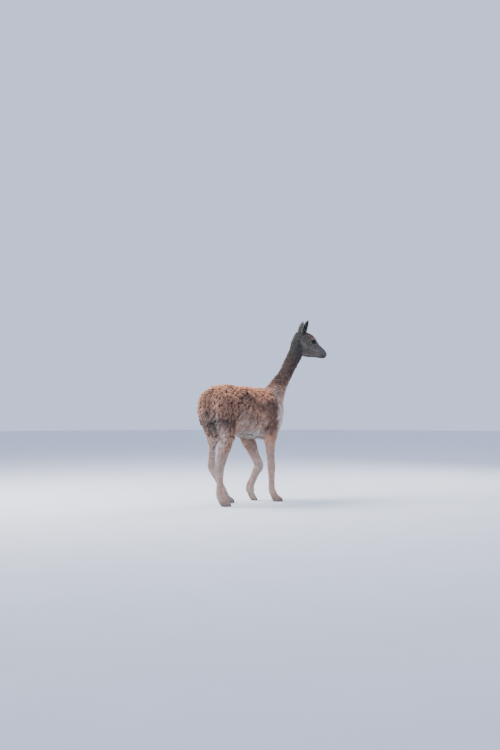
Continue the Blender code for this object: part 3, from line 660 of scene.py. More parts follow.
# A cupped ear: a curved wall round a hollow that opens to one side, on a solid root
def earSkin(side):
    base, tip = inLevel(earShape["base"][side]), inLevel(earShape["tip"][side])
    upward = (tip - base).normalized()
    opening = headAlong * earShape["opening"][side].x + headLeft * earShape["opening"][side].y
    opening = (opening - upward * opening.dot(upward)).normalized()
    across = upward.cross(opening)
    rows = smoothRows(np.stack([earShape["levels"], earShape["widths"]], 1), 5)
    count = earShape["points"]
    length = (tip - base).length
    outer, inner = [], []
    for level, share in rows:
        radius = earShape["halfWidth"] * share
        bend = opening * earShape["hollow"] * math.sin(math.pi * max(level, 0))
        middle = base + upward * level * length - bend
        hollow = min(earShape["wall"], radius * 0.6) if level > 0.05 else radius * 0.97
        for k in range(count):
            turn = earShape["curl"] * (2 * k / (count - 1) - 1)
            spoke = across * math.sin(turn) - opening * math.cos(turn) * 0.85
            outer.append(middle + spoke * radius)
            inner.append(middle + spoke * (radius - hollow))
    total = len(outer)
    faces = []
    for i in range(len(rows) - 1):
        for k in range(count - 1):
            a, b = i * count + k, i * count + k + 1
            faces.append((a, b, b + count, a + count))
            faces.append((total + a, total + a + count, total + b + count, total + b))
        for a in (i * count, i * count + count - 1):
            faces.append((a, a + count, total + a + count, total + a))
    for i in (0, len(rows) - 1):
        for k in range(count - 1):
            a, b = i * count + k, i * count + k + 1
            faces.append((a, total + a, total + b, b))
    made = outward(objectFrom("ear_" + side, outer + inner, faces))
    return made, length, *map(np.array, (base, upward, opening, across))


# A form's points, triangles and normals, with the triangles in one order however they were made
def triangles(item):
    mesh = item.data
    mesh.calc_loop_triangles()
    vertices = np.empty(len(mesh.vertices) * 3)
    mesh.vertices.foreach_get("co", vertices)
    faces = np.empty(len(mesh.loop_triangles) * 3, int)
    mesh.loop_triangles.foreach_get("vertices", faces)
    faces = faces.reshape(-1, 3)
    faces = np.take_along_axis(faces, (faces.argmin(1)[:, None] + np.arange(3)) % 3, 1)
    faces = faces[np.lexsort(faces.T[::-1])]
    bpy.data.objects.remove(item)
    vertices = vertices.reshape(-1, 3)
    a, b, c = vertices[faces].transpose(1, 0, 2)
    normals = np.zeros(vertices.shape)
    for k in range(3):
        np.add.at(normals, faces[:, k], np.cross(b - a, c - a))
    return vertices, faces, normals / np.maximum(np.linalg.norm(normals, axis=1), 1e-12)[:, None]


def shaded(item):
    item.data.polygons.foreach_set("use_smooth", np.ones(len(item.data.polygons), bool))
    item.data.update()
    return item


# Every part of the skin with the regions that it can belong to
skinParts = [(bodySkin(), ["trunk", "neck", "tail", *legJoints])]
print("body skin made")
nailForms = []
for legName in legJoints:
    legItem, legNails = legSkin(legName)
    skinParts.append((legItem, [legName]))
    nailForms += [(legName, toe, form) for toe, form in zip("ab", legNails)]
print("legs made")
skinParts.append((headSkin(), ["head", "neck"]))
print("head made")
for earSide in ("left", "right"):
    earItem, earLength, earBase, earUp, earFront, earAcross = earSkin(earSide)
    levels = np.linspace(-0.2, 1.0, 14)
    earSize = earShape["halfWidth"] * np.interp(levels, earShape["levels"], earShape["widths"])
    earName = "ear" + earSide.capitalize()
    regionNames.append(earName)
    spines[earName] = Spine(
        earBase + earUp * (levels * earLength)[:, None],
        np.tile(earFront, (14, 1)), np.tile(earAcross, (14, 1)),
        earSize, earSize, earSize, np.full(14, 0.002),
    )
    skinParts.append((earItem, [earName]))
print("ears made")

forms = [triangles(item) for item, _ in skinParts]
skinVertices, skinNormals = (np.concatenate([form[i] for form in forms]) for i in (0, 2))
pointCounts = [len(form[0]) for form in forms]
starts = np.cumsum(pointCounts) - pointCounts
skinFaces = np.concatenate([form[1] + start for form, start in zip(forms, starts)])
facePart = np.repeat(np.arange(len(forms)), [len(form[1]) for form in forms])
vertexPart = np.repeat(np.arange(len(forms)), pointCounts)
headPart = 1 + len(legJoints)

# Regions of faces and vertices, and each corner's place in its face's region
edges = skinVertices[skinFaces]
middles = edges.mean(1)
faceNormals = np.cross(edges[:, 1] - edges[:, 0], edges[:, 2] - edges[:, 0])
faceAreas = np.linalg.norm(faceNormals, axis=1) / 2
faceNormals /= np.maximum(faceAreas[:, None] * 2, 1e-12)
faceRegion = np.zeros(len(skinFaces), int)
vertexRegion = np.zeros(len(skinVertices), int)
for partIndex, (_, among) in enumerate(skinParts):
    chosen = facePart == partIndex
    faceRegion[chosen] = locate(middles[chosen], among)
    chosen = vertexPart == partIndex
    vertexRegion[chosen] = locate(skinVertices[chosen], among)
cornerLength, cornerAngle, cornerCoat = np.zeros((3, *skinFaces.shape))
faceAlong = np.zeros((len(skinFaces), 3))
faceInner = np.zeros(len(skinFaces), bool)
vertexAngle = np.zeros(len(skinVertices))
for regionIndex, regionName in enumerate(regionNames):
    spine = spines[regionName]
    chosen = faceRegion == regionIndex
    used, corners = np.unique(skinFaces[chosen], return_inverse=True)
    corners = corners.reshape(-1, 3)
    length, angle, _, coat = spine.local(skinVertices[used])
    cornerLength[chosen] = length[corners]
    turns = angle[corners]
    turns -= turns[:, :1]
    cornerAngle[chosen] = angle[corners][:, :1] + (turns + math.pi) % (2 * math.pi) - math.pi
    cornerCoat[chosen] = coat[corners]
    near = spine.nearest(middles[chosen])
    faceAlong[chosen] = spine.along[near]
    outwardNow = middles[chosen] - spine.centres[near]
    outwardNow -= faceAlong[chosen] * dots(outwardNow, faceAlong[chosen])
    facing = (outwardNow * faceNormals[chosen]).sum(1)
    faceInner[chosen] = facing < -0.15 * np.linalg.norm(outwardNow, axis=1)
    chosen = vertexRegion == regionIndex
    vertexAngle[chosen] = spine.local(skinVertices[chosen])[1]
print("skin placed:", len(skinFaces), "triangles")


# Charts: one rectangle for each region's outside and one for its hollows

bakeLayout = {"width": 2.25, "margin": 0.02, "hollowScale": 0.5}
chartSizes = []
for regionIndex, regionName in enumerate(regionNames):
    for hollow in (False, True):
        chosen = (faceRegion == regionIndex) & (faceInner == hollow)
        if chosen.any():
            scale = bakeLayout["hollowScale"] if hollow else 1.0
            low = np.array([cornerLength[chosen].min(), cornerAngle[chosen].min()])
            high = np.array([cornerLength[chosen].max(), cornerAngle[chosen].max()])
            radius = np.median(spines[regionName].half.mean(1))
            chartSizes.append((regionIndex, hollow, low, high, np.array([scale, scale * radius])))
chartSizes.sort(key=lambda c: -(c[3] - c[2])[1] * c[4][1])
skinUv = np.zeros((*skinFaces.shape, 2))
cursor, shelf, shelfHigh = np.zeros(2), 0.0, 0.0
for regionIndex, hollow, low, high, scale in chartSizes:
    size = (high - low) * scale + bakeLayout["margin"]
    if cursor[0] + size[0] > bakeLayout["width"]:
        cursor = np.array([0.0, shelf + shelfHigh])
        shelf, shelfHigh = cursor[1], 0.0
    chosen = (faceRegion == regionIndex) & (faceInner == hollow)
    place = np.stack([cornerLength[chosen], cornerAngle[chosen]], 2)
    skinUv[chosen] = cursor + bakeLayout["margin"] / 2 + (place - low) * scale
    cursor[0] += size[0]
    shelfHigh = max(shelfHigh, size[1])
skinUv /= max(bakeLayout["width"], shelf + shelfHigh)


# Markings

def ramp(low, high, value):
    share = np.clip((value - low) / (high - low), 0, 1)
    return share * share * (3 - 2 * share)


def raiseTo(marks, where, amount):
    marks[where] = np.maximum(marks, amount)[where]


# A smooth field about 0, with its features near the given size
def waver(points, size, seed, waves=9):
    chance = np.random.default_rng(seed)
    total = np.zeros(len(points))
    for _ in range(waves):
        way = chance.normal(size=3)
        way *= 2 * math.pi / (size * chance.uniform(0.75, 1.5) * np.linalg.norm(way))
        total += np.sin(points @ way + chance.uniform(0, 2 * math.pi))
    return total / math.sqrt(waves)


markingShape = {
    "bellyX": [-0.36, -0.15, -0.05, 0.10, 0.25],
    "bellyZ": [0.500, 0.560, 0.565, 0.535, 0.530],
    "rustLow": 0.64,
    "rustHigh": 0.84,
    "bibX": 0.240,
}


# Shares of rust, of cream and of slate at each point
def markings(points, region, angle):
    x, y, z = points.T
    names = np.array(regionNames)[region]
    rust, cream, slate = np.zeros((3, len(points)))
    soft = waver(points, 0.16, 3)
    fine = waver(points, 0.045, 4)

    upper = np.isin(names, ["trunk", "hindRight", "hindLeft", "foreRight", "foreLeft"])
    belly = np.interp(x, markingShape["bellyX"], markingShape["bellyZ"])
    level = z + 0.018 * soft + 0.010 * fine
    body = upper & (z > 0.40)
    rust[body] = ramp(markingShape["rustLow"], markingShape["rustHigh"], level)[body]
    rump = ramp(-0.14, -0.26, x) * ramp(0.42, 0.62, level)
    rump *= 0.12 + 0.68 * ramp(0.60, 0.72, level)
    raiseTo(rust, body, rump)
    # Less rust on the thigh's outer face below the back: partly its own darker colour, partly painted shade
    # of the face turned from the light
    flat = ramp(0.085, 0.105, np.abs(y)) * ramp(-0.36, -0.32, x) * ramp(-0.215, -0.25, x)
    rust[body] = (rust * (1 - 0.55 * flat * ramp(0.82, 0.77, level)))[body]
    # On the sides the rust gives way to a tawny share, lowered by painted shade in a band just under the
    # back and on the shoulder
    sides = ramp(-0.20, -0.15, x) * ramp(0.80, 0.76, level)
    shade = np.maximum(0.6 * ramp(0.70, 0.76, level), ramp(0.06, 0.13, x))
    tawny = 0.42 * (1 - shade) + 0.12 * shade
    rust[body] = (rust * (1 - sides) + tawny * sides)[body]
    trunk = body & (names == "trunk")
    cream[trunk] = (1 - ramp(belly - 0.035, belly + 0.060, level))[trunk]
    flank = ramp(0.085, 0.0, np.abs(x + 0.07 + (z - 0.60) * 0.5)) * ramp(0.72, 0.56, level)
    flank *= 1 - ramp(-0.10, -0.16, x + (z - 0.6) * 0.5)
    raiseTo(cream, body, flank * 0.52)
    # Slate greys the pale belly and the flank patch: painted shade of the underside
    slate[body] = (0.26 * np.maximum(flank, cream))[body]
    cream[trunk] = np.minimum(cream, 0.62 + 0.22 * fine)[trunk]
    raiseTo(cream, body, 0.22 * sides * (1 - shade) * ramp(0.72, 0.60, level))
    besideTail = np.abs(np.abs(y + 0.012) - 0.070 - 0.006 * fine)
    line = ramp(-0.30, -0.34, x) * ramp(0.015, 0.005, besideTail)
    line *= ramp(0.80, 0.74, level) * ramp(0.56, 0.62, level)
    raiseTo(cream, body, 0.32 * line)
    edge = ramp(0.020, 0.006, np.abs(x + 0.207 + 0.006 * fine)) * ramp(0.09, 0.11, np.abs(y))
    edge *= ramp(0.49, 0.54, level) * ramp(0.79, 0.74, level)
    raiseTo(rust, body, 0.80 * edge)
    # Slate in the cleft between the thighs below the tail: painted shade
    cleft = ramp(0.085, 0.050, np.abs(y + 0.005)) * ramp(-0.20, -0.30, x)
    cleft *= ramp(0.72, 0.64, level)
    raiseTo(slate, body, 0.50 * cleft)
    bib = ramp(markingShape["bibX"] - 0.04, markingShape["bibX"] + 0.01, x)
    bib *= ramp(0.84, 0.76, level)
    raiseTo(cream, body, bib * 0.72)
    raiseTo(rust, body, bib * 0.95)

    neck = names == "neck"
    neckFoot = ramp(0.89, 0.82, level)
    rust[neck] = (0.03 + 0.06 * soft + 0.12 * ramp(1.02, 0.92, level) + 0.45 * neckFoot)[neck]
    throat = ramp(1.03, 0.80, level + 0.03 * soft) * ramp(-0.1, 0.8, np.cos(angle))
    cream[neck] = np.maximum(throat * 0.80, 0.22 * neckFoot)[neck]
    raiseTo(rust, neck, 0.70 * throat)
    slate[neck] = ((0.24 * ramp(0.86, 0.98, z) + 0.60 * ramp(1.02, 1.16, z)) * (1 - throat))[neck]

    tail = names == "tail"
    rust[tail] = (0.28 + 0.35 * ramp(0.68, 0.80, z))[tail]
    cream[tail] = (0.10 * ramp(0.78, 0.62, level))[tail]
    slate[tail] = (0.05 + 0.25 * ramp(0.69, 0.60, level))[tail]

    lower = np.isin(names, list(legJoints)) & (z <= 0.66)
    hind = np.char.startswith(names.astype(str), "hind")
    inside = ramp(0.0, 0.8, -np.sign(y) * np.sin(angle))
    before = ramp(0.2, 0.9, np.cos(angle))
    topLevel = np.where(hind, 0.24 + 0.20 * before, 0.37 + 0.03 * before)
    thigh = ramp(topLevel, topLevel + np.where(hind, 0.22, 0.13), level)
    above = ramp(0.50, 0.62, level)
    paleLeg = 0.30 + 0.24 * inside + 0.10 * fine
    shaded = (names == "foreLeft") * ramp(0.30, 0.42, level)
    hem = (names == "hindRight") * ramp(0.2, 0.9, -np.cos(angle)) * ramp(0.66, 0.60, level)
    rust[lower] = ((0.62 + 0.1 * soft - 0.30 * shaded) * (1 - above) + rust * above)[lower]
    legCream = paleLeg * (1 - thigh) + 0.12 * thigh + 0.35 * inside * thigh
    legCream = np.maximum(legCream * (1 - 0.70 * shaded), (0.44 + 0.14 * fine) * hem)
    cream[lower] = (legCream * (1 - above) + cream * above)[lower]
    raiseTo(slate, lower, 0.25 * ramp(0.10, 0.03, z))

    head = names == "head"
    ahead, left, up = fromHead(points)
    rust[head] = (0.15 + 0.12 * ramp(-0.02, 0.03, up) + 0.10 * soft)[head]
    slate[head] = (0.68 - 0.16 * ramp(-0.02, 0.03, up) + 0.20 * ramp(0.126, 0.142, ahead))[head]
    jaw = ramp(-0.080, -0.110, up) * ramp(0.115, 0.07, ahead) * ramp(-0.09, -0.05, ahead)
    cheekBand = ramp(0.030, 0.0, np.abs(up + 0.055)) * ramp(0.09, 0.05, ahead)
    cheekBand *= ramp(-0.05, -0.02, ahead)
    rows = np.array(headRows)
    overTop = np.interp(ahead, rows[:, 0], rows[:, 1]) - up
    overJaw = up - np.interp(ahead, rows[:, 0], rows[:, 2])
    darkRim = ramp(0.018, 0.006, overTop) * ramp(0.075, 0.105, ahead)
    darkRim = np.maximum(darkRim, ramp(0.018, 0.005, overJaw) * ramp(-0.05, 0.0, ahead))
    darkRim = np.maximum(darkRim, ramp(0.130, 0.142, ahead))
    mouthLine = ramp(0.010, 0.004, np.abs(up + 0.066)) * ramp(0.085, 0.110, ahead)
    darkRim = np.maximum(darkRim, mouthLine)
    lips = ramp(0.118, 0.138, ahead) * ramp(-0.030, -0.045, up)
    pale = ramp(0.03, 0.08, ahead) * ramp(0.130, 0.112, ahead) * ramp(0.0, -0.03, up)
    slate[head] = (slate * (1 - 0.20 * jaw - 0.20 * cheekBand - 0.10 * pale) + 0.10 * lips)[head]
    eyes = np.linalg.norm(np.stack([ahead + 0.006, np.abs(left) - 0.040, up - 0.020], 1), axis=1)
    brow = ramp(0.045, 0.020, eyes) * ramp(0.002, 0.014, up)
    raiseTo(rust, head, 0.24 * brow)
    slate[head] = (slate * (1 - 0.35 * brow))[head]
    cream[head] = (0.40 * jaw + 0.34 * cheekBand + 0.34 * pale)[head]
    rim = np.minimum(aroundEye(points, 1)[0], aroundEye(points, -1)[0])
    near = np.linalg.norm(np.stack([ahead, np.abs(left) - 0.034, up], 1), axis=1) < 0.034
    under = ramp(2.6, 1.7, rim) * near * (1 - brow) * ramp(0.010, -0.004, up)
    cream[head] = (np.maximum(cream, 0.34 * under) * (1 - 0.9 * darkRim))[head]
    raiseTo(slate, head, 0.98 * darkRim)
    raiseTo(slate, head, 0.95 * near * ramp(1.55, 1.20, rim))

    ears = np.char.startswith(names.astype(str), "ear")
    rust[ears] = 0.15
    slate[ears] = (0.80 + 0.08 * fine)[ears]
    cream[ears] = 0.10
    return np.clip(np.stack([rust, cream, slate], 1), 0, 1)


skinMarks = markings(skinVertices, vertexRegion, vertexAngle)


def inFrame(points):
    return points @ toFrameArray[:3, :3].T + toFrameArray[:3, 3]


def vectors(mesh, name, values):
    made = mesh.attributes.new(name, "FLOAT_VECTOR", "POINT")
    made.data.foreach_set("vector", values.astype(np.float32).ravel())


# A triangle mesh in the frame with its bake map and its point attributes
def builtMesh(name, vertices, faces, uv, attributes):
    mesh = bpy.data.meshes.new(name)
    mesh.vertices.add(len(vertices))
    mesh.vertices.foreach_set("co", inFrame(vertices).astype(np.float32).ravel())
    mesh.loops.add(len(faces) * 3)
    mesh.loops.foreach_set("vertex_index", faces.astype(np.int32).ravel())
    mesh.polygons.add(len(faces))
    mesh.polygons.foreach_set("loop_start", np.arange(len(faces), dtype=np.int32) * 3)
    layer = mesh.uv_layers.new(name="OFBake")
    mesh.update(calc_edges=True)
    layer.data.foreach_set("uv", uv.astype(np.float32).ravel())
    for key, values in attributes.items():
        vectors(mesh, key, values)
    mesh.polygons.foreach_set("use_smooth", np.ones(len(faces), bool))
    return linked(name, mesh)


woolFoot = 0.45  # the level where the legs' short hair begins
placeNames = np.array(regionNames)[vertexRegion]
woolSkin = np.isin(placeNames, ["trunk", "tail"]) | (skinVertices[:, 2] > woolFoot)
woolSkin &= ~np.isin(placeNames, ["neck", "head"])
# Painted shade in the skin seen between the tufts: strong under the wool, light under short hair
skinCreviceShade = np.where(woolSkin, 0.75, 0.20)
skinTone = waver(skinVertices, 0.02, 5) * 0.12 + np.where(woolSkin, 0.42, 0.55)
vary = np.stack([np.full(len(skinCreviceShade), 0.10), skinTone, skinCreviceShade], 1)
skin = builtMesh("skin", skinVertices, skinFaces, skinUv, {"marking": skinMarks, "strand": vary})
print("skin made:", len(skin.data.polygons), "triangles")


# Coat

coatShape = {"drift": 0.075, "seed": 7, "pieceTriangles": 185000}
# For each kind of coat: tufts to a square metre, a tuft's length and width in metres and its count of rings,
# a staple's width, then shares and depths that shape and shade it, and the group of pieces that it goes to
coatKeys = [
    "perSquare", "length", "width", "rings", "staple", "gather", "curl", "waves",
    "sag", "hang", "evenness", "sway", "crackShade", "spread", "shortness", "group",
]
coatKinds = {
    "trunk": (54000, 0.036, 0.0052, 3, 0.0145, 0.78, 0.0060, 0.9, 0.003, 1.0, 0.0, 0.55, 1.0, 1.0, 0.0, 0),
    "side": (54000, 0.050, 0.0042, 3, 0.021, 0.30, 0.0030, 0.9, 0.0, 1.0, 0.65, 0.22, 0.22, 1.5, 0.0, 0),
    "flank": (38000, 0.080, 0.0050, 4, 0.020, 0.78, 0.0050, 1.5, 0.008, 0.75, 0.0, 0.22, 0.55, 2.4, 0.0, 0),
    "bib": (48000, 0.095, 0.0046, 4, 0.022, 0.78, 0.0050, 1.5, 0.010, 0.55, 0.0, 0.22, 0.55, 1.0, 0.0, 0),
    "neck": (150000, 0.019, 0.0024, 2, 0.014, 0.08, 0.0, 0.9, 0.0, 1.0, 0.85, 0.14, 0.12, 0.55, 0.5, 1),
    "tail": (70000, 0.050, 0.0042, 3, 0.016, 0.78, 0.0030, 0.9, 0.0, 0.70, 0.0, 0.22, 1.0, 1.0, 0.0, 1),
    "gaskin": (86000, 0.024, 0.0030, 2, 0.011, 0.22, 0.0022, 0.9, 0.0, 1.0, 0.75, 0.14, 0.55, 0.55, 0.25, 2),
    "leg": (117000, 0.012, 0.0019, 2, 0.008, 0.08, 0.0, 0.9, 0.0, 1.0, 0.85, 0.14, 0.12, 0.55, 0.5, 2),
    "head": (280000, 0.0100, 0.0013, 2, 0.008, 0.08, 0.0, 0.9, 0.0, 1.0, 0.85, 0.14, 0.12, 0.55, 0.5, 3),
    "face": (420000, 0.0058, 0.0009, 1, 0.006, 0.08, 0.0, 0.9, 0.0, 1.0, 0.85, 0.14, 0.12, 0.55, 0.5, 3),
    "ear": (300000, 0.0080, 0.0011, 1, 0.006, 0.08, 0.0, 0.9, 0.0, 1.0, 0.85, 0.14, 0.12, 0.55, 0.5, 3),
}
kinds = list(coatKinds)
coatTable = dict(zip(coatKeys, np.array(list(coatKinds.values())).T))
groupNames = ["fleece", "neckFur", "legFur", "headFur"]
chance = np.random.default_rng(coatShape["seed"])

regionOfFace = np.array(regionNames)[faceRegion]
x, y, z = middles.T
faceKind = np.full(len(skinFaces), "trunk", dtype="U8")
bodyPart = facePart == 0
lowLine = np.interp(x, markingShape["bellyX"], markingShape["bellyZ"])
bodyRegions = np.isin(regionOfFace, ["trunk", *legJoints])
isThigh = np.isin(regionOfFace, ["hindRight", "hindLeft"])
woolLine = np.interp(x, [-0.12, -0.05, 0.05, 0.20], [0.60, 0.79, 0.81, 0.79])
smoothSide = z + 0.03 * waver(middles, 0.12, 41) < woolLine
faceKind[bodyPart & bodyRegions & ~isThigh & (x > -0.13) & smoothSide] = "side"
faceKind[bodyPart & bodyRegions & ~isThigh & (z < lowLine + 0.055)] = "flank"
groin = np.abs(x + 0.085 + (z - 0.60) * 0.5) < 0.075
faceKind[bodyPart & bodyRegions & groin & (z < 0.69)] = "flank"
faceKind[bodyPart & bodyRegions & (x > markingShape["bibX"]) & (z < 0.76)] = "bib"
faceKind[bodyPart & (regionOfFace == "neck")] = "neck"
faceKind[bodyPart & (regionOfFace == "neck") & (z < 0.86) & (faceNormals[:, 0] > 0.1)] = "bib"
faceKind[regionOfFace == "tail"] = "tail"
isLeg = np.isin(regionOfFace, list(legJoints))
faceKind[isLeg & (z < 0.50)] = "gaskin"
faceKind[isLeg & (z < 0.30)] = "leg"
faceKind[facePart == headPart] = "head"
faceKind[(facePart == headPart) & (regionOfFace == "neck")] = "neck"
faceAhead = fromHead(middles)[0]
faceKind[(faceKind == "head") & (faceAhead + 0.035 * chance.random(len(faceAhead)) > 0.065)] = "face"
faceKind[facePart > headPart] = "ear"

bare = np.zeros(len(skinFaces), bool)
bare |= bodyPart & isLeg & (z < skinShape["legCut"])
bare |= ~bodyPart & isLeg & (z > skinShape["legCut"])
bare |= bodyPart & (regionOfFace == "neck") & (z > skinShape["neckTop"] - 0.01)
bare |= (facePart == headPart) & (z < skinShape["neckTop"] - 0.012) & (regionOfFace == "neck")
bare |= isLeg & (z < 0.008)
for side in (-1, 1):
    rim, gap = aroundEye(middles, side)
    bare |= (rim < 1.07) & (gap < eyeShape["radius"] + 0.009)
    hole = np.array(mirrored(faceShape["nostril"][0], side))
    bare |= np.linalg.norm(middles - hole, axis=1) < 0.0075
mouthLine = treeOf(mouthPath)
for i in np.nonzero((facePart == headPart) & (faceAhead > 0.05))[0]:
    bare[i] |= mouthLine.find(middles[i])[2] < 0.0036
for innerPart in (headPart, 0):
    bare |= (facePart == innerPart) & faceInner & (faceKind != "neck")
kindIndex = np.array([kinds.index(k) for k in faceKind])
expected = np.where(bare, 0, faceAreas * coatTable["perSquare"][kindIndex])
total = np.cumsum(expected)
count = int(total[-1])
picks = (np.arange(count) + chance.random(count)) / count * total[-1]
rootFace = np.minimum(np.searchsorted(total, picks), len(skinFaces) - 1)
share = chance.random((count, 2))
share[share.sum(1) > 1] = 1 - share[share.sum(1) > 1]
weight = np.stack([1 - share.sum(1), share[:, 0], share[:, 1]], 1)
root = (skinVertices[skinFaces[rootFace]] * weight[..., None]).sum(1)
normal = unit((skinNormals[skinFaces[rootFace]] * weight[..., None]).sum(1))
rootUv = (skinUv[rootFace] * weight[..., None]).sum(1)
rootCoat = (cornerCoat[rootFace] * weight).sum(1)
rootAngle = (cornerAngle[rootFace] * weight).sum(1)
rootKind = kindIndex[rootFace]
rootRegion = faceRegion[rootFace]
isKind = {kind: rootKind == i for i, kind in enumerate(kinds)}
print("tufts placed:", count, {kind: int(chosen.sum()) for kind, chosen in isKind.items()})


# A value of each tuft's kind
def eachTuft(key):
    return coatTable[key][rootKind]


# The way the coat lies
down = np.array([0.0, 0.0, -1.0])
lie = faceAlong[rootFace].copy()
regionName = np.array(regionNames)[rootRegion]
reverse = np.isin(regionName, ["trunk", "head"])
lie[reverse] *= -1
onTrunk = np.isin(regionName, ["trunk", *legJoints]) & (root[:, 2] > woolFoot)
fall = 0.25 + 0.9 * ramp(0.82, 0.60, root[:, 2]) + 6.0 * ramp(-0.27, -0.35, root[:, 0])
fall += 3.0 * ramp(0.18, 0.27, root[:, 0]) * ramp(0.82, 0.74, root[:, 2])
lie[onTrunk] = np.array([-1.0, 0, 0]) + down * fall[onTrunk][:, None]
legward = ramp(0.66, 0.50, root[:, 2])[:, None] * np.isin(regionName, list(legJoints))[:, None]
lie = np.where(onTrunk[:, None], lie * (1 - legward) + (down * 1.6 + np.array([-0.4, 0, 0])) * legward, lie)
lie[isKind["bib"]] = down + normal[isKind["bib"]] * 0.1
lie[isKind["side"]] = down * 1.1 + np.array([-0.75, 0, 0])
for side in (-1, 1):
    fromEye = root - np.array(mirrored(eyeShape["centre"], side))
    gap = np.linalg.norm(fromEye, axis=1)
    around = np.cross(np.cross(normal, fromEye), normal) / gap[:, None]
    lie += around * (2.2 * ramp(0.042, 0.027, gap))[:, None]


lie = unit(lie - normal * dots(lie, normal))


# Clumps: roots gather about thrown centres and share one sway
def thrownCentres(points, spacing):
    chosen = []
    grid = {}
    for i in chance.permutation(len(points))[:60000]:
        cell = tuple((points[i] // spacing).astype(int))
        near = (
            j
            for dx in (-1, 0, 1) for dy in (-1, 0, 1) for dz in (-1, 0, 1)
            for j in grid.get((cell[0] + dx, cell[1] + dy, cell[2] + dz), ())
        )
        if all(((points[i] - points[j]) ** 2).sum() > spacing**2 for j in near):
            grid.setdefault(cell, []).append(i)
            chosen.append(i)
    return np.array(chosen)


clumpOf = np.zeros(count, int)
clumpAway = np.zeros((count, 3))
clumpShare = np.zeros(count)
clumpRoots = []
for index, kind in enumerate(kinds):
    chosen = np.nonzero(rootKind == index)[0]
    spacing = coatTable["staple"][index]
    # Long locks gather in strips along their lie
    strip = lie[chosen] * dots(root[chosen], lie[chosen])
    stretched = root[chosen] - strip * (0.5 if kind in ("bib", "flank") else 0.2)
    centres = thrownCentres(stretched, spacing)
    tree = treeOf(stretched[centres])
    found = [tree.find(p) for p in stretched]
    nearest = np.array([f[1] for f in found])
    clumpOf[chosen] = nearest + sum(len(c) for c in clumpRoots)
    clumpAway[chosen] = root[chosen[centres[nearest]]] - root[chosen]
    clumpShare[chosen] = np.clip(np.array([f[2] for f in found]) / (spacing * 0.70), 0, 1)
    clumpRoots.append(chosen[centres])
clumpRoots = np.concatenate(clumpRoots)
clumpCount = len(clumpRoots)
print("staples:", clumpCount)
clumpPlace = root[clumpRoots]
drift = waver(clumpPlace, coatShape["drift"], 21)
driftSide = waver(clumpPlace, coatShape["drift"] * 1.3, 22)
swayOf = 0.45 * driftSide + 0.55 * chance.normal(size=clumpCount)
phaseOf = chance.uniform(0, 2 * math.pi, clumpCount)
toneOf = np.clip(0.30 * drift + 0.55 * chance.uniform(-1, 1, clumpCount), -1, 1)
liftOf = np.clip(0.80 + 0.12 * drift + chance.uniform(-0.22, 0.16, clumpCount), 0.4, 1.0)
stretchOf = chance.uniform(0.72, 1.15, clumpCount)

woolly = eachTuft("shortness") == 0
sway = swayOf[clumpOf] * eachTuft("sway")
sway += chance.normal(size=count) * 0.14
across = np.cross(normal, lie)
lie = lie * np.cos(sway)[:, None] + across * np.sin(sway)[:, None]
across = np.cross(normal, lie)

long = eachTuft("length") * chance.uniform(0.85, 1.1, count) * stretchOf[clumpOf]
wide = eachTuft("width") * chance.uniform(0.7, 1.2, count)
neckShare = ramp(1.15, 0.80, root[:, 2])
neckFoot = ramp(0.97, 0.84, root[:, 2])
long = np.where(isKind["neck"], long * (0.60 + 0.9 * neckShare + 1.1 * neckFoot), long)
long = np.where(isKind["gaskin"], long * (0.55 + 0.8 * ramp(0.32, 0.48, root[:, 2])), long)
cheek = isKind["head"] * ramp(-0.03, -0.09, fromHead(root)[0])
long *= 1 + 0.7 * cheek
dome = 1 - clumpShare**2
evenness = eachTuft("evenness")
lift = rootCoat * liftOf[clumpOf] * (0.42 + 0.50 * (dome * (1 - evenness) + evenness))
lift *= chance.uniform(0.85, 1.08, count)
pull = clumpAway * eachTuft("gather")[:, None]
pull -= normal * dots(pull, normal)
curl = eachTuft("curl") * chance.uniform(0.6, 1.2, count)
waves, sag = eachTuft("waves"), eachTuft("sag")

# How far a straight tuft's tip would stand off the skin beyond its lift, so that it can follow the form
skinTree = BVHTree.FromPolygons(skinVertices.tolist(), skinFaces.tolist())
reachTip = root + lie * long[:, None] + pull + down * sag[:, None]
standOff = np.zeros(count)
for i, tip in enumerate(reachTip):
    point, away, _, gap = skinTree.find_nearest(tip)
    standOff[i] = gap if (Vector(tip) - point).dot(away) > 0 else -gap
drawIn = np.clip(standOff, -0.03, 0.05) * eachTuft("hang")
freeLength = np.where(root[:, 0] < 0.20, 0.016, 0.030)
trimmed = np.where(onTrunk & (root[:, 2] < 0.64), freeLength / np.maximum(standOff, freeLength), 1.0)
long *= trimmed
pull *= trimmed[:, None]
drawIn *= trimmed**2
print("coat shaped")

rootMarks = markings(root, rootRegion, rootAngle)
clumpTone = chance.uniform(-1, 1, clumpCount)
strayCream = np.where(isKind["gaskin"], 0.16, 0.42) * clumpTone[clumpOf] + 0.10 * chance.normal(size=count)
streaky = isKind["flank"] | isKind["side"] | isKind["gaskin"]
edge = 4 * rootMarks[:, 1] * (1 - rootMarks[:, 1])
rootMarks[:, 1] = np.clip(rootMarks[:, 1] + streaky * edge * strayCream, 0, 1)
# Painted shade in the cracks between staples: strongest toward the rump, weaker at the hips
rumpward = ramp(0.00, -0.25, root[:, 0]) * ramp(0.26, 0.40, root[:, 2])
hips = ramp(0.075, 0.10, np.abs(root[:, 1])) * ramp(0.84, 0.79, root[:, 2])
crackShade = (0.36 + 0.64 * rumpward) * (1 - 0.55 * hips) + 0.22 * waver(root, 0.05, 31)
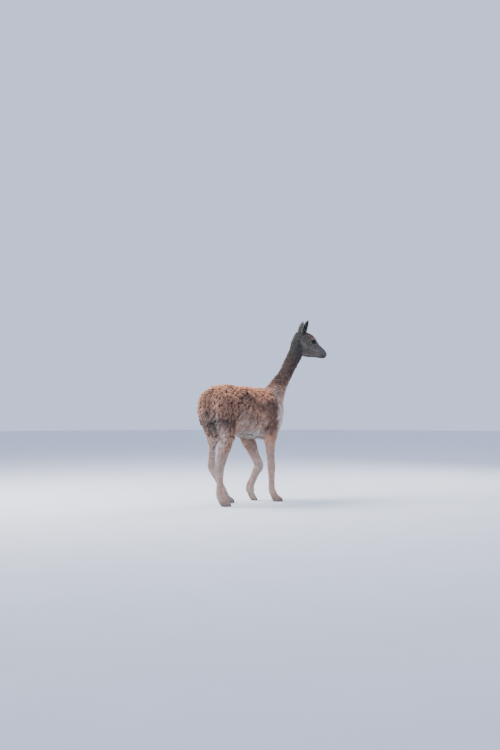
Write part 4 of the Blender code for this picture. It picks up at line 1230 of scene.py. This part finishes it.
# Stronger painted shade in the cracks of the lower thigh, the tail and the cleft between the thighs, which
# also darkens these tufts
onThigh = isThigh[rootFace] & (np.abs(root[:, 1]) > 0.07)
curlShade = onThigh * ramp(0.63, 0.57, root[:, 2]) * ramp(0.36, 0.44, root[:, 2])
curlShade *= ramp(-0.9, -0.2, np.cos(rootAngle))
curlShade = np.maximum(curlShade, isKind["tail"] * ramp(0.60, 0.66, root[:, 2]))
cleftShade = woolly * ramp(0.10, 0.06, np.abs(root[:, 1])) * ramp(-0.30, -0.36, root[:, 0])
curlShade = np.maximum(curlShade, cleftShade * ramp(0.82, 0.78, root[:, 2]))
crackShadeOf = eachTuft("crackShade") * np.where(isKind["gaskin"], ramp(0.60, 0.20, rootMarks[:, 1]), 1)
rootCrackShade = np.maximum(np.clip(crackShade, 0, 1) * crackShadeOf, curlShade)
brokenLine = ramp(-0.9, 0.5, waver(root, 0.030, 33))
nearFace = np.zeros(count)
for spot in (faceShape["nostril"][0], faceShape["lip"][0]):
    for side in (-1, 1):
        away = np.linalg.norm(root - np.array(mirrored(spot, side)), axis=1)
        nearFace = np.maximum(nearFace, ramp(0.026, 0.012, away))
long *= 1 - 0.5 * nearFace
underRump = onTrunk * ramp(-0.35, -0.65, normal[:, 2]) * ramp(-0.20, -0.25, root[:, 0])
long *= 1 - 0.6 * underRump
long *= 1 - 0.5 * isKind["flank"] * ramp(-0.45, -0.85, normal[:, 2])


tuckIn = 0.0012  # how far a tuft's root sits under the skin
ground = 0.0012  # lowest level of any tuft


# Each tuft: flattened rings of three about a curved line, drawn to a point
def tuftMesh(chosen, rings):
    count = len(chosen)
    steps = np.append(np.arange(rings) / rings, 1.0)
    line = np.zeros((count, rings + 1, 3))
    phase = phaseOf[clumpOf[chosen]] + chance.normal(size=count) * 0.5
    for j, t in enumerate(steps):
        rise = lift[chosen] * (1 - (1 - t) ** 2.2) - tuckIn * (1 - t) * (rootCoat[chosen] > 0.003)
        turn = np.sin(waves[chosen] * 2 * math.pi * t + phase) - np.sin(phase)
        line[:, j] = (
            root[chosen]
            + normal[chosen] * rise[:, None]
            + lie[chosen] * (long[chosen] * t)[:, None]
            + across[chosen] * (curl[chosen] * turn * t)[:, None]
            + pull[chosen] * (t**1.2)
            - normal[chosen] * (drawIn[chosen] * t * t)[:, None]
            + down * (sag[chosen] * t * t)[:, None]
        )
    line[..., 2] = np.maximum(line[..., 2], ground)
    along = unit(np.gradient(line, axis=1))
    flat = unit(np.cross(normal[chosen][:, None], along))
    high = np.cross(along, flat)
    profile = np.interp(steps[:-1], [0, 0.35, 0.7, 1.0], [0.75, 1.0, 0.72, 0.1])
    half = wide[chosen][:, None] * profile[None] / 2
    corners = [(0.0, 0.62), (-1.0, -0.28), (1.0, -0.28)]
    vertices = np.zeros((count, rings * 3 + 1, 3))
    for k, (a, b) in enumerate(corners):
        vertices[:, k:-1:3] = line[:, :-1] + (flat[:, :-1] * a + high[:, :-1] * b) * half[..., None]
    vertices[:, -1] = line[:, -1]
    faces = [(0, 2, 1)]
    for j in range(rings - 1):
        for k in range(3):
            a, b = j * 3 + k, j * 3 + (k + 1) % 3
            faces.append((a, b, b + 3))
            faces.append((a, b + 3, a + 3))
    for k in range(3):
        faces.append(((rings - 1) * 3 + k, (rings - 1) * 3 + (k + 1) % 3, rings * 3))
    faces = np.array(faces)
    first = vertices[0][faces]
    if (first[:, 0] * np.cross(first[:, 1], first[:, 2])).sum() < 0:
        faces = faces[:, ::-1]
    perTuft = rings * 3 + 1
    allFaces = (faces[None] + (np.arange(count) * perTuft)[:, None, None]).reshape(-1, 3)
    placeOf = np.repeat(steps, [3] * rings + [1])
    sideOf = np.concatenate([np.tile([0.0, -1.0, 1.0], rings), [0.0]])
    patch = np.stack([placeOf - 0.5, sideOf * 0.45], 1) * 0.003
    uv = (rootUv[chosen][:, None, None] + patch[faces][None]).reshape(-1, 2)
    marks = np.repeat(rootMarks[chosen], perTuft, axis=0)
    spread = eachTuft("spread")[chosen]
    tone = 0.5 + (0.15 * toneOf[clumpOf[chosen]] + 0.10 * chance.normal(size=count)) * spread
    # Painted shade: tufts toward a staple's edge are darker along the cracks
    tone -= 0.48 * rootCrackShade[chosen] * brokenLine[chosen] * ramp(0.60, 0.90, clumpShare[chosen])
    tone -= 0.08 * curlShade[chosen]
    tone -= 0.17 * (isKind["neck"] * ramp(0.86, 0.95, root[:, 2]))[chosen]
    tone -= (0.17 * isKind["neck"] * ramp(1.00, 1.10, root[:, 2]) + 0.09 * isKind["tail"])[chosen]
    # Painted shade at the roots, strongest toward a staple's edge
    depth = rootCrackShade[chosen] * (0.45 + 0.55 * clumpShare[chosen] ** 1.5)
    shortness = np.repeat(eachTuft("shortness")[chosen], perTuft)
    strand = np.stack([
        shortness + (1 - shortness) * np.tile(placeOf, count),
        np.repeat(np.clip(tone, 0, 1), perTuft),
        np.repeat(depth, perTuft),
    ], 1)
    return vertices.reshape(-1, 3), allFaces, uv, {"marking": marks, "strand": strand}


coatPieces = []
for group, groupName in enumerate(groupNames):
    for rings in (1, 2, 3, 4):
        chosen = np.nonzero((eachTuft("group") == group) & (eachTuft("rings") == rings))[0]
        if not len(chosen):
            continue
        chosen = chosen[np.argsort(root[chosen, 0], kind="stable")]
        perTuft = 1 + 6 * (rings - 1) + 3
        pieces = math.ceil(len(chosen) * perTuft / coatShape["pieceTriangles"])
        for i, part in enumerate(np.array_split(chosen, pieces)):
            item = builtMesh(f"{groupName}{rings}{i}", *tuftMesh(part, rings))
            coatPieces.append((item, groupName))
print("coat made:", sum(len(item.data.polygons) for item, _ in coatPieces), "triangles in", len(coatPieces))


# Eyes

# A ball, with each point's place as the eye looks
def eyeball(side, name):
    look, across, upward = gazeAxes(side)
    belts, corners = eyeShape["belts"], eyeShape["corners"]
    slope = math.pi * np.arange(1, belts)[:, None] / belts
    turn = 2 * math.pi * np.arange(corners) / corners
    high = np.tile(np.cos(slope), corners)
    rings = np.stack([np.sin(slope) * np.cos(turn), np.sin(slope) * np.sin(turn), high], 2)
    item = loft(name, rings)
    mesh = item.data
    vertices = np.concatenate([rings.reshape(-1, 3), [(0, 0, 1), (0, 0, -1)]])
    centre = np.array(mirrored(eyeShape["centre"], side))
    axes = np.array([across, upward, look])
    radius = eyeShape["radius"] - 0.0002
    placed = inFrame(centre + vertices @ axes * radius)
    mesh.vertices.foreach_set("co", placed.astype(np.float32).ravel())
    vectors(mesh, "gaze", vertices)
    layer = mesh.uv_layers.new(name="OFBake")
    uv = np.empty((len(mesh.loops), 2))
    for face in mesh.polygons:
        seen = vertices[list(face.vertices)]
        middle = (0.25, 0.5) if seen[:, 2].mean() > 0 else (0.75, 0.5)
        uv[list(face.loop_indices)] = seen[:, :2] * 0.23 + middle
    layer.data.foreach_set("uv", uv.astype(np.float32).ravel())
    return shaded(outward(item))


eyes = {side: eyeball(hand, "eyeball_" + side) for side, hand in (("left", 1), ("right", -1))}
print("eyes made")


# Nails

nailHolders = {}
for legName, toe, form in nailForms:
    vertices, faces, _ = triangles(form)
    low, span = vertices.min(0), np.ptp(vertices, axis=0)
    place = (vertices - vertices.mean(0)) / span.max()
    angle = np.arctan2(place[:, 1], place[:, 2]) / (2 * math.pi) + 0.5
    uv = np.stack([angle, (vertices[:, 0] - low[0]) / span[0]], 1)[faces].reshape(-1, 2)
    grain = np.stack([(vertices[:, 0] - low[0]) / span[0], place[:, 1], place[:, 2]], 1)
    nailHolders[legName, toe] = builtMesh("horn_" + legName + toe, vertices, faces, uv, {"grain": grain})
print("nails made:", len(nailHolders))


# Materials

# A colour named by its screen values, as the renderer wants it
def paint(red, green, blue):
    def straight(v):
        v /= 255
        return v / 12.92 if v <= 0.04045 else ((v + 0.055) / 1.055) ** 2.4
    return straight(red), straight(green), straight(blue), 1.0


# A material's nodes
class Board:
    def __init__(self, name):
        self.material = bpy.data.materials.new(name)
        self.material.use_nodes = True
        self.tree = self.material.node_tree
        self.tree.nodes.clear()

    def put(self, socket, value):
        if isinstance(value, Value):
            self.tree.links.new(value.socket, socket)
        else:
            socket.default_value = value

    def make(self, kind, settings=None, sockets=None):
        node = self.tree.nodes.new("ShaderNode" + kind)
        for key, value in (settings or {}).items():
            setattr(node, key, value)
        for key, value in (sockets or {}).items():
            self.put(node.inputs[key], value)
        return node

    def take(self, node, output):
        return Value(self, node.outputs[output])

    def maths(self, operation, *values):
        return self.take(self.make("Math", {"operation": operation}, dict(enumerate(values))), 0)

    def mix(self, factor, first, second, blend="MIX"):
        settings = {"data_type": "RGBA", "blend_type": blend, "clamp_factor": True}
        return self.take(self.make("Mix", settings, {0: factor, 6: first, 7: second}), 2)

    def attribute(self, name):
        node = self.make("Attribute", {"attribute_name": name})
        split = self.make("SeparateXYZ", sockets={0: self.take(node, "Vector")})
        return [self.take(split, i) for i in range(3)]

    def noise(self, scale, place, detail=2.0, roughness=0.5):
        sockets = {"Vector": place, "Scale": scale, "Detail": detail, "Roughness": roughness}
        return self.take(self.make("TexNoise", sockets=sockets), 0)

    def place(self):
        return self.take(self.make("TexCoord"), "Object")

    def finish(self, sockets):
        shader = self.make("BsdfPrincipled", sockets=sockets)
        output = self.make("OutputMaterial")
        self.tree.links.new(shader.outputs[0], output.inputs[0])
        return self.material


# A socket that can be reckoned with
class Value:
    def __init__(self, board, socket):
        self.board = board
        self.socket = socket

    def __add__(self, other):
        return self.board.maths("ADD", self, other)

    def __sub__(self, other):
        return self.board.maths("SUBTRACT", self, other)

    def __mul__(self, other):
        return self.board.maths("MULTIPLY", self, other)

    def __truediv__(self, other):
        return self.board.maths("DIVIDE", self, other)

    def __radd__(self, other):
        return self.board.maths("ADD", other, self)

    def __rsub__(self, other):
        return self.board.maths("SUBTRACT", other, self)

    def __rmul__(self, other):
        return self.board.maths("MULTIPLY", other, self)

    def __rtruediv__(self, other):
        return self.board.maths("DIVIDE", other, self)


furColours = {
    "brown": paint(107, 83, 73),
    "rust": paint(246, 184, 144),
    "cream": paint(226, 222, 214),
    "slate": paint(114, 110, 101),
    "charcoal": paint(36, 37, 41),
    "paintedShadeTint": paint(104, 70, 54),
    "roughness": 0.82,
    "sheen": 0.15,
}


# The coat's colours from its markings. The skin under it is darkened as painted shade under the coat and has
# a fine lie of hair
def furMaterial(name, shadedSkin):
    board = Board(name)
    rust, cream, slate = board.attribute("marking")
    along, tone, depth = board.attribute("strand")
    place = board.place()
    patches = board.noise(14.0, place)
    colour = board.mix(rust + (patches - 0.5) * 0.35, furColours["brown"], furColours["rust"])
    colour = board.mix(cream, colour, furColours["cream"])
    colour = board.mix(slate * 1.25, colour, furColours["slate"])
    colour = board.mix(slate * 5.0 - 4.0, colour, furColours["charcoal"])
    # Painted shade: roots and the cracks between staples are darkened, most at the root and less on pale fur
    shaded = board.mix(0.90, colour, furColours["paintedShadeTint"], "MULTIPLY")
    colour = board.mix(depth * (1.25 - along * 1.2) * (1.0 - cream * 0.45), colour, shaded)
    # Lighter toward the tips: partly sun-bleached tips, partly painted shade toward the roots
    lightness = (tone - 0.5) * 1.10 + along * 0.32 + 0.80
    # Painted shade: the skin seen between the tufts is darker
    if shadedSkin:
        lightness = lightness * 0.80
    bright = board.make("CombineXYZ", sockets={0: lightness, 1: lightness, 2: lightness})
    scaled = board.make("VectorMath", {"operation": "MULTIPLY"}, {0: colour, 1: board.take(bright, 0)})
    sockets = {
        "Base Color": board.take(scaled, 0),
        "Roughness": furColours["roughness"],
        "Sheen Weight": furColours["sheen"],
        "Sheen Roughness": 0.6,
        "Specular IOR Level": 0.18,
    }
    if shadedSkin:
        unwrapped = board.take(board.make("UVMap", {"uv_map": "OFBake"}), 0)
        stretched = board.make("Mapping", sockets={0: unwrapped, "Scale": (60.0, 340.0, 1.0)})
        streaks = board.noise(4.0, board.take(stretched, 0), 3.0)
        bump = board.make("Bump", sockets={"Strength": 0.55, "Distance": 0.0012, "Height": streaks})
        sockets["Normal"] = board.take(bump, 0)
    return board.finish(sockets)


def eyeMaterial():
    board = Board("eye")
    across, upward, look = board.attribute("gaze")
    pupil = board.maths("SQRT", (across / 0.40) * (across / 0.40) + (upward / 0.17) * (upward / 0.17))
    iris = board.maths("SQRT", across * across + upward * upward)
    rays = board.noise(70.0, board.place(), 3.0)
    brown = board.mix(rays, paint(20, 14, 11), paint(34, 23, 17))
    ring = board.maths("SMOOTH_MIN", (iris - 0.62) * 9.0, 1.0, 0.1)
    colour = board.mix(ring, brown, paint(22, 16, 14))
    edge = board.maths("MINIMUM", board.maths("MAXIMUM", (pupil - 0.92) * 8.0, 0.0), 1.0)
    colour = board.mix(edge, paint(8, 8, 12), colour)
    return board.finish({
        "Base Color": colour,
        "Roughness": 0.16,
        "Specular IOR Level": 0.12,
        "Coat Weight": 0.10,
        "Coat Roughness": 0.05,
    })


def hornMaterial():
    board = Board("horn")
    ahead, _, _ = board.attribute("grain")
    grain = board.noise(220.0, board.place(), 3.0)
    colour = board.mix(grain * 0.7 + ahead * 0.3, paint(44, 38, 36), paint(92, 80, 70))
    bump = board.make("Bump", sockets={"Strength": 0.3, "Distance": 0.0004, "Height": grain})
    return board.finish({"Base Color": colour, "Roughness": 0.42, "Normal": board.take(bump, 0)})


def lashMaterial():
    board = Board("lash")
    colour = board.mix(board.noise(300.0, board.place()), paint(22, 18, 17), paint(48, 38, 32))
    return board.finish({"Base Color": colour, "Roughness": 0.55})


def floorMaterial():
    board = Board("floor")
    fleck = board.noise(3.0, board.place(), 3.0)
    colour = board.mix(fleck, paint(214, 218, 226), paint(224, 228, 235))
    return board.finish({"Base Color": colour, "Roughness": 0.9})


skinFinish = furMaterial("skinFur", True)
coatFinish = furMaterial("coatFur", False)
eyeFinish, hornFinish, lashFinish = eyeMaterial(), hornMaterial(), lashMaterial()


# Eyelashes: spikes along the upper lid's rim

lashShape = {"length": 0.011, "thickness": 0.00028, "from": 0.10, "to": 0.92, "perLid": 30}


def lashTree():
    tree = bpy.data.node_groups.new("lashes", "GeometryNodeTree")
    tree.interface.new_socket("Geometry", in_out="INPUT", socket_type="NodeSocketGeometry")
    tree.interface.new_socket("Length", in_out="INPUT", socket_type="NodeSocketFloat")
    tree.interface.new_socket("Thickness", in_out="INPUT", socket_type="NodeSocketFloat")
    tree.interface.new_socket("Geometry", in_out="OUTPUT", socket_type="NodeSocketGeometry")
    start, end = tree.nodes.new("NodeGroupInput"), tree.nodes.new("NodeGroupOutput")
    cone = tree.nodes.new("GeometryNodeMeshCone")
    cone.inputs["Vertices"].default_value = 5
    cone.inputs["Side Segments"].default_value = 3
    cone.inputs["Radius Top"].default_value = 0.0
    aim = tree.nodes.new("GeometryNodeInputNamedAttribute")
    aim.data_type = "FLOAT_VECTOR"
    aim.inputs["Name"].default_value = "aim"
    turn = tree.nodes.new("FunctionNodeAlignRotationToVector")
    turn.axis = "Z"
    points = tree.nodes.new("GeometryNodeInstanceOnPoints")
    realize = tree.nodes.new("GeometryNodeRealizeInstances")
    finish = tree.nodes.new("GeometryNodeSetMaterial")
    finish.inputs["Material"].default_value = lashFinish
    for source, output, target, entry in (
        (start, "Length", cone, "Depth"),
        (start, "Thickness", cone, "Radius Bottom"),
        (aim, "Attribute", turn, "Vector"),
        (start, "Geometry", points, "Points"),
        (cone, "Mesh", points, "Instance"),
        (turn, "Rotation", points, "Rotation"),
        (points, "Instances", realize, "Geometry"),
        (realize, "Geometry", finish, "Geometry"),
        (finish, "Geometry", end, "Geometry"),
    ):
        tree.links.new(source.outputs[output], target.inputs[entry])
    return tree


def lashes(side, name, tree):
    points, aims = [], []
    path = [entry for entry in lidPaths[side] if 0 < entry[2] < math.pi]
    last = len(path) - 1
    for i in range(lashShape["perLid"]):
        share = lashShape["from"] + (lashShape["to"] - lashShape["from"]) * i / (lashShape["perLid"] - 1)
        point, away, _ = path[int(share * last)]
        following = path[min(int(share * last) + 1, last)][0]
        rest = share * last % 1
        aim = away + headCrown * 0.10 + headNose * chance.normal() * 0.12
        aim = (aim - Vector((0, 0, 0.28))).normalized()
        points.append(toFrame @ (point.lerp(following, rest) + away * 0.0012))
        aims.append(toFrame.to_3x3() @ aim)
    item = objectFrom(name, points, [])
    vectors(item.data, "aim", np.array(aims))
    grow = item.modifiers.new("grow", "NODES")
    grow.node_group = tree
    entries = [socket for socket in tree.interface.items_tree if socket.in_out == "INPUT"]
    inputs = {socket.name: socket.identifier for socket in entries}
    grow[inputs["Length"]] = lashShape["length"]
    grow[inputs["Thickness"]] = lashShape["thickness"]
    applied(item)
    layer = item.data.uv_layers[0] if item.data.uv_layers else item.data.uv_layers.new(name="OFBake")
    layer.name = "OFBake"
    return shaded(item)


lashGrower = lashTree()
lashItems = [lashes(side, name, lashGrower) for side, name in ((1, "lashes_left"), (-1, "lashes_right"))]
print("lashes made")


# Pieces take their place in the frame

def dressedIn(item, finish, slot, *nodes):
    item.data.materials.clear()
    item.data.materials.append(finish)
    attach(item, "root")
    if nodes:
        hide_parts(*nodes)


fleshNodes = ["torso", "neck", "tail", "head", "ear_left", "ear_right"]
legNodes = {"hindRight": "hind_leg_right", "hindLeft": "hind_leg_left"}
legNodes.update({"foreRight": "fore_leg_right", "foreLeft": "fore_leg_left"})
dressedIn(skin, skinFinish, "fleece", *fleshNodes, *legNodes.values())
slots = {"fleece": "fleece", "neckFur": "fleece", "legFur": "leg_fur", "headFur": "face_fur"}
for item, groupName in coatPieces:
    dressedIn(item, coatFinish, slots[groupName])
for side, item in eyes.items():
    dressedIn(item, eyeFinish, "eye", "eye_" + side)
for item in lashItems:
    dressedIn(item, lashFinish, "face_fur")
for (legName, toe), item in nailHolders.items():
    node = legNodes[legName].replace("leg", "nail") + "_" + toe
    dressedIn(item, hornFinish, "horn", node)

floorShape = {"radius": 16.0, "corners": 96}
turns = [2 * math.pi * i / floorShape["corners"] for i in range(floorShape["corners"])]
edgePoints = [(floorShape["radius"] * math.cos(t), floorShape["radius"] * math.sin(t), 0) for t in turns]
floor = objectFrom("floor", edgePoints, [tuple(range(floorShape["corners"]))])
floor.data.materials.append(floorMaterial())


# Light and camera

def areaLight(name, place, target, power, size, colour):
    data = bpy.data.lights.new(name, "AREA")
    data.energy = power
    data.shape = "DISK"
    data.size = size
    data.color = colour
    item = linked(name, data)
    item.location = place
    item.rotation_euler = (Vector(target) - Vector(place)).to_track_quat("-Z", "Y").to_euler()


lightShape = {"sky": 1.42, "key": (330, 2.4, (1.0, 0.97, 0.94)), "rim": (125, 2.0, (1.0, 0.98, 0.96))}
world = bpy.data.worlds.new("studio")
world.use_nodes = True
world.node_tree.nodes["Background"].inputs[0].default_value = paint(198, 210, 242)
world.node_tree.nodes["Background"].inputs[1].default_value = lightShape["sky"]
bpy.context.scene.world = world

cameraShape = {
    "bearing": 227.0,
    "distance": 7.767,
    "right": -0.0710,
    "height": 0.79,
    "tilt": 1.1,
    "lens": 50,
}
bearing = math.radians(cameraShape["bearing"])
view = Vector((-math.sin(bearing), math.cos(bearing), 0))
right = Vector((view.y, -view.x, 0))
keyPlace = Vector((0, 0, 3.3)) + view * 0.1 - right * 2.6
rimPlace = Vector((0, 0, 2.8)) + view * 2.4 + right * 2.2
areaLight("key", keyPlace, (0, 0, 0.7), *lightShape["key"])
areaLight("rim", rimPlace, (0, 0, 0.8), *lightShape["rim"])

camera = linked("camera", bpy.data.cameras.new("camera"))
camera.data.lens = cameraShape["lens"]
camera.data.sensor_width = 36.0
camera.location = right * cameraShape["right"] - view * cameraShape["distance"]
camera.location.z = cameraShape["height"]
aimed = view + Vector((0, 0, math.tan(math.radians(cameraShape["tilt"]))))
camera.rotation_euler = aimed.to_track_quat("-Z", "Y").to_euler()
bpy.context.scene.camera = camera

bpy.context.view_layer.update()
